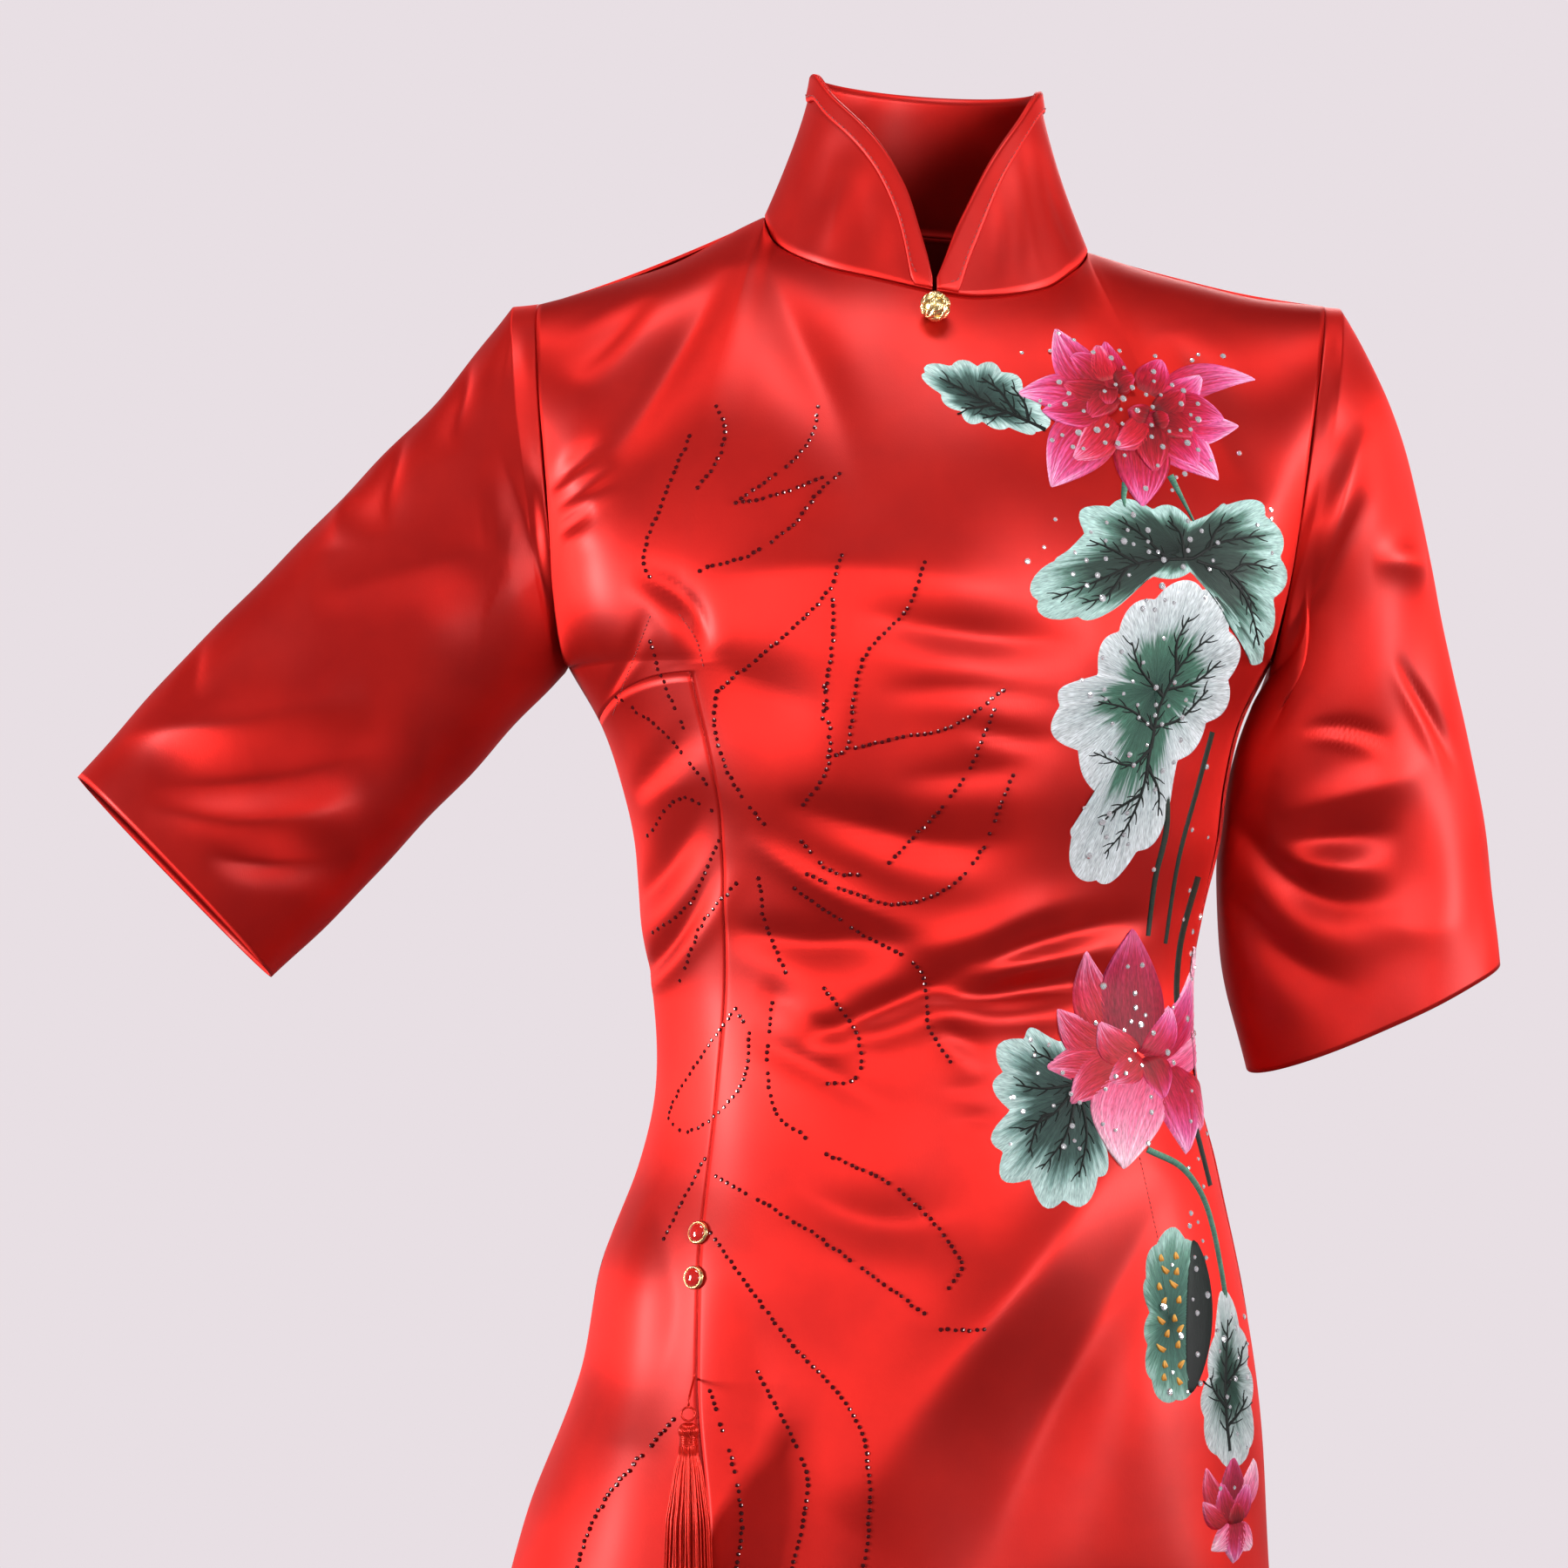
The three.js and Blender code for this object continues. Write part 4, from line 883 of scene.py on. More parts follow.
# %% Back panel
BACK_STEPS = [(0, 5, 36), (5, 9, 36), (9, 18, 54), (18, 21, 20), (21, 30, 60)]
BACK_CREASES = [   # width, depth, lip, places as column and row of the model
    (9, 4.5, 0.4, [(6, 13.4), (11, 14.2), (17, 13.8)]),
    (8, 3.5, 0.4, [(8, 15.6), (13, 15.9), (19, 15.1)]),
    (8, 3.5, 0.4, [(4, 12.0), (9, 12.6), (14, 12.2)]),
    (7, 3.0, 0.4, [(12, 17.1), (16, 17.4), (21, 16.6)]),
    (6, 2.5, 0.4, [(2, 14.8), (4, 14.0), (7, 13.7)]),
    (6, 2.5, 0.4, [(18, 12.9), (21, 13.3), (23, 14.2)]),
    (14, 3.5, 0.2, [(3, 27.5), (4.6, 25), (4.2, 22)]),
    (14, 3.5, 0.2, [(21, 27.5), (19.4, 25), (19.8, 22)]),
    (12, 3.0, 0.3, [(9, 19.4), (12, 19.9), (15, 19.3)]),
    (16, 4.0, 0.3, [(5, 7.4), (9, 7.0), (12, 7.5)]),
    (16, 4.0, 0.3, [(12.5, 7.2), (16, 6.9), (19, 7.5)]),
    (20, 4.5, 0.0, [(7, 6), (6.4, 4), (7, 1.5)]),
    (20, 4.5, 0.0, [(16.5, 6), (17.2, 4), (16.6, 1.5)]),
]

back_columns = np.arange(BACK["columns"] * FINE + 1) / FINE
back_rows = fine_rows(BACK_STEPS)
back_grid = face_point(BACK, back_columns[None, :], back_rows[:, None])
back_out = normals(back_grid)
back_sunk = ripple(back_grid, 80, 1.0, 5)
for width, depth, lip, places in BACK_CREASES:
    flat = curve_through(places, CREASE_PLACES)
    line = face_point(BACK, flat[:, 0], flat[:, 1])
    back_sunk += crease(back_grid, back_out, line, width, depth, lip)
back_chest = int(np.argmin(np.abs(back_rows - CHEST_ROW)))
for column, way in ((0, 1), (-1, -1)):
    back_grid = moved(back_grid, (slice(0, back_chest + 1), column), across=way * SEWN)
    back_sunk[:back_chest + 1, column] += SEAM_PRESS
back_grid[-1, :, 1] += SEWN
satin_wall("back", back_grid, back_sunk, satin)

# %% [markdown]
# ## Sleeves
# An elbow sleeve bends with the arm, and satin breaks there into short crossing folds. Each crease is
# placed by how far it is down the sleeve and how far across: 1 is the outer line and -1 the inner one.
# Creases on the far side of the arm are marked so and are laid by the same rule.

# %% Sleeve creases
SLEEVE_CREASES = {
    "right": [   # width, depth, lip, far side, places as way down and way across
        (15, 7.0, 0.1, 0, [(0.95, 0.55), (0.80, -0.05), (0.55, -0.7)]),
        (12, -4.0, 0.0, 0, [(0.93, 0.95), (0.80, 0.40), (0.60, -0.15)]),
        (9, 4.0, 0.1, 0, [(0.95, -0.10), (0.88, -0.45), (0.76, -0.85)]),
        (9, -3.0, 0.0, 0, [(0.97, 0.45), (0.86, -0.15), (0.70, -0.65)]),
        (20, 6.0, 0.1, 0, [(0.62, 0.60), (0.40, 0.10), (0.12, -0.5)]),
        (11, 3.0, 0.1, 0, [(0.23, 0.38), (0.14, -0.2), (0.04, -0.9)]),
        (8, 3.2, 0.1, 0, [(0.30, 0.98), (0.335, 0.72), (0.33, 0.52)]),
        (8, 3.2, 0.1, 0, [(0.43, 0.98), (0.475, 0.74), (0.48, 0.50)]),
        (10, -2.4, 0.0, 0, [(0.52, 0.98), (0.56, 0.72)]),
        (7, 1.6, 0.1, 0, [(0.78, 0.98), (0.82, 0.78), (0.82, 0.6)]),
        (5, 1.2, 0.1, 0, [(0.10, 0.9), (0.22, 0.55)]),
        (14, 5.0, 0.1, 1, [(0.9, 0.5), (0.7, 0.0), (0.5, -0.6)]),
        (13, 4.5, 0.1, 1, [(0.66, 0.6), (0.48, 0.1), (0.2, -0.5)]),
        (11, 3.5, 0.1, 1, [(0.95, -0.1), (0.84, -0.5), (0.7, -0.85)]),
        (11, 3.0, 0.1, 1, [(0.25, 0.5), (0.15, 0.0), (0.05, -0.7)]),
    ],
    "left": [
        (13, 7.0, 0.2, 0, [(0.29, 0.42), (0.27, 0.0), (0.34, -0.5), (0.44, -0.95)]),
        (10, -4.5, 0.0, 0, [(0.21, 0.6), (0.19, 0.1), (0.24, -0.4)]),
        (9, 4.0, 0.2, 0, [(0.10, -0.2), (0.22, -0.55), (0.36, -0.95)]),
        (4, 2.4, 0.6, 0, [(0.54, 0.48), (0.63, 0.68), (0.72, 0.84)]),
        (9, -3.2, 0.0, 0, [(0.40, 0.35), (0.46, 0.68), (0.50, 0.92)]),
        (3.5, 1.8, 0.5, 0, [(0.50, -0.45), (0.57, 0.0), (0.64, 0.38)]),
        (11, -3.4, 0.0, 0, [(0.62, -0.60), (0.65, -0.2), (0.68, 0.3), (0.69, 0.65)]),
        (8, 3.4, 0.1, 0, [(0.66, -0.66), (0.714, -0.12), (0.75, 0.36)]),
        (7, -1.8, 0.0, 0, [(0.70, -0.64), (0.735, -0.3), (0.79, 0.25)]),
        (9, 4.2, 0.2, 0, [(0.57, -0.98), (0.763, -0.40), (0.84, 0.30)]),
        (10, 3.0, 0.1, 0, [(0.70, -0.98), (0.84, -0.62), (0.95, -0.05)]),
        (14, -2.0, 0.0, 0, [(0.80, -0.2), (0.87, 0.3), (0.90, 0.8)]),
        (12, 4.5, 0.1, 1, [(0.35, 0.6), (0.5, 0.0), (0.6, -0.7)]),
        (11, 4.0, 0.1, 1, [(0.5, 0.7), (0.66, 0.0), (0.72, -0.6)]),
        (12, 4.0, 0.1, 1, [(0.25, 0.5), (0.15, -0.1), (0.05, -0.6)]),
    ],
}
print({side: len(creases) for side, creases in SLEEVE_CREASES.items()}, "creases")

# %% Sleeve walls
SLEEVE_GRID = (200, 128)      # columns round and rows down
SLEEVE_CREASE_PLACES = 18
SEWN_LENGTH = 1 / 12          # creases fade out over this share of a sleeve at its armhole
for side, flat, area in (("right", (0.36, 0.30), 0.100), ("left", (0.36, 0.28), 0.090)):
    across, down = SLEEVE_GRID
    turns = ARMHOLES[side]["out"] * turns_of(across)
    sections = len(SLEEVES[side]["y"])
    grid = sleeve_point(side, turns[None, :], np.linspace(0, sections, down)[:, None])
    out = normals(grid, wrap=True)
    sunk = ripple(grid, 48, 1.2, 8)
    for width, depth, lip, far, places in SLEEVE_CREASES[side]:
        way = curve_through(places, SLEEVE_CREASE_PLACES)
        turn = np.arccos(power(np.clip(way[:, 1], -1, 1), ROUNDNESS / 2)) * (-1 if far else 1)
        line = sleeve_point(side, turn, np.clip(way[:, 0], 0, 1) * sections)
        sunk += crease(grid, out, line, width, DEEPER * depth, lip)
    sunk *= ease(np.linspace(0, 1, down) / SEWN_LENGTH)[:, None]
    sunk[0] += SEAM_PRESS
    grid[0, :, 0] -= ARMHOLES[side]["out"] * (SEAM - SEWN)
    axis = unit(grid[0].mean(0) - grid[-1].mean(0))
    satin_wall(f"sleeve_{side}", grid, sunk, satin, wrap=True, warp=axis)

# %% [markdown]
# ## Collar and its binding
# A qipao collar is a stiffened stand. Here it is open in a V, so its free edge slopes down to the
# neckline at the front. A folded satin band is sewn on along that edge: it is a piece of its own, with
# a rounded back and a stitched lower line.

# %% Stand collar
COLLAR_COLUMNS, COLLAR_ROWS, COLLAR_CREASE_PLACES = 240, 16, 12
FOOT_TURNED_IN, FOOT_LOWERED = 1.3, 0.9      # the sewn edge, a dark line above the neckline
COLLAR_CREASES = [   # width, depth, lip, places by degrees and share of the stand
    (9, 1.6, 0.2, [(310, 0.04), (312, 0.7)]), (8, 1.3, 0.2, [(336, 0.04), (329, 0.5)]),
    (7, -1.2, 0.0, [(322, 0.06), (320, 0.6)]), (5, 1.0, 0.3, [(46, 0.1), (52, 0.74)]),
    (5, 1.1, 0.3, [(36, 0.1), (40, 0.6)]), (4, 0.8, 0.3, [(26, 0.06), (30, 0.46)]),
    (9, 1.5, 0.0, [(68, 0.04), (64, 0.7)]), (10, 1.2, 0.0, [(140, 0.1), (150, 0.8)]),
    (10, 1.2, 0.0, [(215, 0.1), (205, 0.8)]),
]
degrees = np.linspace(COLLAR_FROM, COLLAR_TO, COLLAR_COLUMNS + 1)
band_line, free_edge = collar_lines(degrees)
up_the_stand = np.insert(np.linspace(0, 1, COLLAR_ROWS + 1), 1, 0.012)
stand = collar_point(degrees[None, :], up_the_stand[:, None] * free_edge)
stand_sunk = ripple(stand, 40, 0.5, 12)
for width, depth, lip, places in COLLAR_CREASES:
    turns, shares = np.array(places, float).T
    line = collar_point(np.linspace(*turns, COLLAR_CREASE_PLACES),
                        np.linspace(*shares, COLLAR_CREASE_PLACES))
    stand_sunk += crease(stand, normals(stand), line, width, depth, lip)
stand_sunk[0] += FOOT_TURNED_IN
stand[0, :, 2] -= FOOT_LOWERED
satin_wall("collar", stand, stand_sunk, satin, crisp=COLLAR_COLUMNS)

# %% Folded band
BAND_EDGE, BAND_SWELL = 0.2, 1.0         # its thickness at the edges, and what it gains between them
across_band = np.array([0, 0.03, 0.1, 0.2, 0.35, 0.5, 0.65, 0.8, 0.9, 0.97, 1])
band = collar_point(degrees[None, :], mix(band_line, free_edge, across_band[:, None]))
band_height = SEAM + BAND_EDGE + BAND_SWELL * (1 - np.abs(2 * across_band - 1) ** 12)
band_outer = band + normals(band) * band_height[:, None, None]
band_inner = band + normals(band) * SEAM
points, faces, _ = wall(band_outer, band_inner)
binding = new_piece("collar_binding", points, faces, satin,
                    weft=cross_threads(normals(band), (0, 0, 1)))
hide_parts("collar_binding")
print("collar band", len(faces) * 2, "triangles")

# %% [markdown]
# ## Silk embroidery
# Lotus and lotus leaves are traditional motifs. Machine embroidery fills each petal with long threads
# laid side by side, with ragged colour changes where one thread takes over from the next, and it stands
# a little proud of the satin.
#
# Here a petal or leaf is a patch of a grid with two parameters. One runs along the threads and the
# other across them. Each thread has its own shade and its own place where the colour changes, and the
# patch is raised in the middle. The patches are drawn flat in x and z, laid on the finished front, and
# joined into a few meshes.

# %% Thread material
# dyed rayon is soft and only half glossy: the light breaks on the ridges between the strands. Its
# colour is also darkened where the strand noise sinks: partly a random tone from strand to strand, and
# partly painted shade in the hollows between the strands, which the same noise lowers as a bump
thread, thread_tree, thread_shader = new_material("rayon_embroidery_thread", {
    "Roughness": 0.55, "Specular IOR Level": 0.22})
dye = add_node(thread_tree, "ShaderNodeAttribute", {"attribute_name": "dye"})
thread_uv = add_node(thread_tree, "ShaderNodeUVMap", {"uv_map": "thread"})
strands = add_node(thread_tree, "ShaderNodeMapping", {"Scale": (1.7, 0.26, 1.0)},
                   {"Vector": (thread_uv, "UV")})
strand_noise = add_node(thread_tree, "ShaderNodeTexNoise", {"Scale": 1.0, "Detail": 2.0},
                        {"Vector": (strands, "Vector")})
# painted shade: the dye is scaled from 0.5 to 1.05 by the strand noise, darkest where its bump is
# lowest
shade = add_node(thread_tree, "ShaderNodeMapRange",
                 {"From Min": 0.3, "From Max": 0.7, "To Min": 0.5, "To Max": 1.05},
                 {"Value": (strand_noise, "Fac")})
dye_and_painted_shade = add_node(thread_tree, "ShaderNodeVectorMath", {"operation": "SCALE"},
                {"Vector": (dye, "Color"), "Scale": (shade, "Result")})
thread_tree.links.new(dye_and_painted_shade.outputs["Vector"], thread_shader.inputs["Base Color"])
strand_bump = add_node(thread_tree, "ShaderNodeBump", {"Strength": 0.5, "Distance": 0.0003},
                       {"Height": (strand_noise, "Fac")})
thread_tree.links.new(strand_bump.outputs["Normal"], thread_shader.inputs["Normal"])
print(thread.name, "with", len(thread_tree.nodes), "nodes")

# %% Shades of the threads
chance = np.random.default_rng(21)
SHADES = {   # colours from the root of a thread to its end
    "outer petal": ["#980C22", "#BC1E46", "#D85490", "#F2A6CC"],
    "inner petal": ["#7A0616", "#A00C24", "#C42458", "#E66CA8"],
    "heart petal": ["#5C040E", "#8C0616", "#AC0E28", "#D03862"],
    "red petal": ["#980A18", "#B81226", "#D23458", "#EE8AB0"],
    "dark petal": ["#7A0A22", "#94102E", "#AE2048", "#CC4A80"],
    "pale petal": ["#D2305E", "#EC7098", "#F6A6C0", "#FBD2E0"],
    "teal leaf": ["#14221F", "#34504A", "#7C9F99", "#B4CECA"],
    "green leaf": ["#101C18", "#243A32", "#567C70", "#A8C8C2"],
    "white leaf": ["#1A3830", "#3E6A58", "#A9B4B6", "#CDD2D5"],
    "grey leaf": ["#12241E", "#2C4A40", "#9AAAA8", "#CCD0D2"],
    "stem": ["#0A100C", "#18221A", "#26322A", "#303C2E"],
    "pale stem": ["#24483C", "#3A6656", "#588670", "#6E9A82"],
    "vein": ["#020605", "#040A07", "#050C09", "#08120D"],
    "pod": ["#1E4036", "#3E6C5E", "#62907F", "#A0C6BC"],
    "pod side": ["#050A08", "#0A120F", "#101A16", "#16241E"],
    "seed": ["#C07A20", "#E09A38", "#EAB050", "#F0C470"],
}


def shade_of(name, stop, stops=(0.0, 0.35, 0.7, 1.0)):
    """The colour a share of the way along a thread, between the four of its shade."""
    colours = np.array([linear(c) for c in SHADES[name]])
    return np.stack([np.interp(stop, stops, colours[:, k]) for k in range(4)], -1)


def ragged(rows, columns, by):
    """For each thread, how much sooner or later its colours change, and how light it is."""
    late = chance.normal(0, by, columns)
    light = chance.uniform(0.86, 1.12, columns)
    return np.linspace(0, 1, rows)[:, None] + late, light[None, :, None]


print(len(SHADES), "shades")

# %% Petals
RIM_SUNK = -0.25              # the rim of every patch lies this deep in the satin, so that no gap shows
RIDGE = 0.1                   # every second thread stands this much higher
PETAL_STEPS = (1.8, 0.7)      # mm along the threads and across them
PETAL_STOPS, LEAF_STOPS = (0.0, 0.48, 0.8, 1.0), (0.0, 0.45, 0.78, 1.0)   # where the four shades lie


def patch(flat, rim, height, colour, uv):
    """Flat places, heights, colours and a UV in mm. The rim is sunk into the satin."""
    return flat, np.where(rim, RIM_SUNK, height), colour, uv


def petal(base, tip, width, shade_name, bend=0.0, root=0.14, full=0.85, lift=0.0, crown=0.6,
          blunt=0.9):
    """A petal between base and tip. At a share u of the way its half width is
    width / 2 * sin(pi * (root + (1 - root) * u^full))^blunt, and its middle is bent aside by
    bend * length * 4u(1 - u)."""
    base, tip = np.array(base, float), np.array(tip, float)
    length = np.linalg.norm(tip - base)
    rows = max(8, int(length / PETAL_STEPS[0]))
    columns = max(9, int(width / PETAL_STEPS[1]))
    u, v = np.linspace(0, 1, rows)[:, None], np.linspace(-1, 1, columns)[None, :]
    run = (tip - base) / length
    side = np.array([-run[1], run[0]])
    half = width / 2 * np.sin(np.pi * np.clip(root + (1 - root) * u**full, 0, 1)) ** blunt
    middle = bend * length * 4 * u * (1 - u)
    flat = base + (length * u)[..., None] * run + (middle + half * v)[..., None] * side
    stop, light = ragged(rows, columns, 0.09)
    colour = shade_of(shade_name, np.clip(stop + 0.16 * v**2, 0, 1), PETAL_STOPS) * light
    ridge = RIDGE * np.cos(np.pi * np.arange(columns))[None, :]
    swell = np.sin(np.pi * np.clip(u * 0.94 + 0.03, 0, 1)) ** 0.4
    height = lift + (crown + ridge) * (1 - v**4) * swell
    rim = (np.abs(v) == 1) | (u == 0) | (u == 1)
    return patch(flat, rim, height, colour, np.stack([half * v, length * u + 0 * v], -1))


# %% Lotus leaves
LEAF_STEPS = (2.2, 1.3)       # mm along the threads and between them, at the middle of the leaf
LEAF_CROWN, HEM_RIDGE, HEM_PLACE, HEM_REACH = 0.35, 0.25, 0.8, 0.12


def blade(heart, rim, shade_name, scallops=9, wave=0.05, lift=0.0, stops=LEAF_STOPS):
    """A lotus leaf: threads run from the heart to a rim through a few places. The rim is scalloped by
    size * wave * (2 |sin(scallops * turn / 2)| - 1), and a low ridge runs round inside it."""
    heart, rim = np.array(heart, float), np.array(rim, float)
    size = np.linalg.norm(rim - heart, axis=1).mean()
    far = np.linalg.norm(rim - heart, axis=1).max()
    columns, rows = int(2 * np.pi * size / LEAF_STEPS[1]), max(10, int(far / LEAF_STEPS[0]))
    laps = np.concatenate([rim, rim[:1]])
    whole = np.linspace(0, 1, columns + 1)
    s = distances(laps)
    padded = np.concatenate([laps[-3:-1], laps, laps[1:3]])
    key = np.concatenate([s[-3:-1] - s[-1], s, s[1:3] + s[-1]]) / s[-1]
    rows_of = {"s": key, 0: padded[:, 0], 1: padded[:, 1]}
    edge = np.stack([row_at(rows_of, "s", k, whole) for k in (0, 1)], -1)
    scallop = size * wave * (2 * np.abs(np.sin(scallops * np.pi * whole)) - 1)
    edge += unit(edge - heart) * scallop[:, None]
    u = np.linspace(0, 1, rows)[:, None]
    flat = heart + u[..., None] * (edge - heart)
    stop, light = ragged(rows, columns + 1, 0.05)
    stop[:, -1], light[:, -1] = stop[:, 0], light[:, 0]
    colour = shade_of(shade_name, np.clip(stop, 0, 1), stops) * light
    ridge = RIDGE * np.cos(np.pi * np.arange(columns + 1))[None, :]
    height = (lift + (LEAF_CROWN + ridge) * (1 - u**6)
              + HEM_RIDGE * np.exp(-(((u - HEM_PLACE) / HEM_REACH) ** 2)))
    arc = whole[None, :] * 2 * np.pi * size
    reach = np.linalg.norm(edge - heart, axis=1)[None, :]
    return patch(flat, u == 1, height, colour, np.stack([arc + 0 * u, reach * u], -1))


# %% Stems and veins
STEM_STEP, STEM_COLUMNS = 2.2, 7


def ribbon(places, width, shade_name, lift=0.0, taper=0.3, crown=0.5):
    """A stem or a vein: a raised band along a curve, narrower at its end by the share of taper."""
    length = sum(np.hypot(*np.diff(np.array(places, float), axis=0).T))
    spine = curve_through(places, max(8, int(length / STEM_STEP)))
    rows = len(spine)
    run = unit(np.gradient(spine, axis=0))
    side = np.stack([-run[:, 1], run[:, 0]], -1)
    u, v = np.linspace(0, 1, rows)[:, None], np.linspace(-1, 1, STEM_COLUMNS)[None, :]
    half = width / 2 * (1 - (1 - taper) * u)
    flat = spine[:, None] + (half * v)[..., None] * side[:, None]
    light = chance.uniform(0.8, 1.2, (rows, 1, 1))
    colour = shade_of(shade_name, np.clip((v + 1) / 2 + 0 * u, 0, 1)) * light
    height = lift + crown * np.sqrt(np.clip(1 - v**2, 0, 1)) + 0 * u
    uv = np.stack([distances(spine)[:, None] + 0 * v, half * v], -1)
    return patch(flat, np.abs(v) == 1, height, colour, uv)


# %% Laying patches on the front
front_face_out = normals(front_face)
laid = []   # the flat places and the heights of all the patches, for the stones that go over them


def on_front(x, z):
    """The place on the finished front, and the way out of it there."""
    return spot(front_face, front_face_out, x, z)


def lay(flat, height):
    """A flat patch on the front: its places, and its quads turned to face out of the cloth. A row that
    is drawn together in one point is one place."""
    at, out = on_front(flat[..., 0], flat[..., 1])
    index = np.arange(at.shape[0] * at.shape[1]).reshape(at.shape[:2])
    for end in (0, -1):
        if np.ptp(flat[end], axis=0).max() < 1e-6:
            index[end] = index[end, 0]
    quads = index.ravel()[grid_faces(*at.shape[:2]).reshape(-1, 4)]
    across, along = at[:-1, 1:] - at[:-1, :-1], at[1:, :-1] - at[:-1, :-1]
    if (np.cross(across, along) * out[:-1, :-1]).sum() < 0:
        quads = quads[:, ::-1]
    return (at + out * height[..., None]).reshape(-1, 3), quads


def embroider(name, patches):
    """Lays flat patches on the front, each at its own height, and joins them into one piece."""
    parts, colours, uvs = [], [], []
    for flat, height, colour, uv in patches:
        shape = flat.shape[:2]
        height = np.broadcast_to(height, shape)
        laid.append((flat.reshape(-1, 2), height.ravel()))
        parts.append(lay(flat, height))
        colours.append(np.broadcast_to(colour, shape + (4,)).reshape(-1, 4))
        uvs.append(np.broadcast_to(uv, shape + (2,)).reshape(-1, 2))
    points, faces = joined(parts)
    faces = tri_faces(faces)
    piece = new_piece(name, points, faces, thread, np.concatenate(uvs), np.concatenate(colours))
    print(name, len(patches), "patches,", len(faces), "triangles")


# %% Leaves and stems
PALE_EDGE = (0.0, 0.6, 0.74, 0.86)       # stops of a leaf that turns from dark to pale near its rim
leaves = [
    ribbon([(52, -101), (34, -92), (8, -80)], 3.2, "stem", taper=0.4),
    blade((22, -89), [(-5, -74), (10, -70), (30, -71), (44, -80), (56, -97), (52, -105), (36, -103),
                      (18, -99), (4, -87)], "teal leaf", 11, 0.07, 0.15, PALE_EDGE),
    ribbon([(92, -128), (91, -136), (93, -146)], 4.0, "pale stem"),
    ribbon([(114, -124), (119, -134), (125, -146)], 4.0, "pale stem"),
    blade((118, -160), [(46, -186), (52, -168), (66, -160), (72, -142), (92, -137), (112, -140),
                        (130, -144), (142, -136), (160, -138), (168, -152), (172, -168), (166, -190),
                        (162, -210), (154, -212), (150, -196), (136, -184), (122, -172), (100, -176),
                        (84, -190), (62, -194)], "green leaf", 17, 0.055, 0.1, PALE_EDGE),
    blade((106, -226), [(130, -176), (142, -190), (147, -212), (140, -236), (126, -252), (116, -268),
                        (112, -290), (96, -308), (78, -320), (66, -308), (66, -292), (78, -280),
                        (70, -262), (57, -244), (60, -228), (76, -218), (84, -200), (98, -186),
                        (112, -178)], "white leaf", 15, 0.045, 0.2, (0.0, 0.5, 0.6, 1.0)),
    ribbon([(112, -268), (113, -292), (108, -316), (105, -344)], 4.0, "stem", taper=0.7),
    ribbon([(136, -246), (129, -272), (120, -306), (114, -348)], 3.2, "stem", taper=0.7),
    ribbon([(131, -316), (122, -350), (121, -386), (127, -424), (137, -466)], 4.2, "stem", taper=0.7),
    blade((70, -418), [(80, -386), (70, -384), (58, -392), (46, -388), (34, -396), (30, -410),
                       (34, -424), (30, -440), (34, -456), (48, -464), (58, -472), (70, -470),
                       (80, -462), (84, -446), (80, -432), (92, -420), (88, -402)],
          "teal leaf", 12, 0.085, 0.15, PALE_EDGE),
    ribbon([(104, -446), (122, -456), (134, -474), (142, -508), (146, -542)], 3.6, "pale stem",
           taper=0.8),
    blade((114, -528), [(108, -489), (118, -484), (128, -494), (131, -514), (130, -538), (127, -558),
                        (117, -567), (106, -560), (102, -543), (103, -524), (102, -505)],
          "pod", 11, 0.05, 0.2, (0.0, 0.55, 0.8, 0.95)),
    petal((124, -563), (127, -490), 15, "pod side", -0.05, 0.0, 1.0, 0.5, blunt=0.6),
    blade((142, -556), [(142, -514), (150, -528), (156, -548), (158, -572), (156, -596), (144, -600),
                        (134, -590), (130, -570), (134, -548), (138, -530)], "grey leaf", 9, 0.05, 0.2,
          (0.0, 0.42, 0.62, 1.0)),
]
print(len(leaves), "stems and leaves")

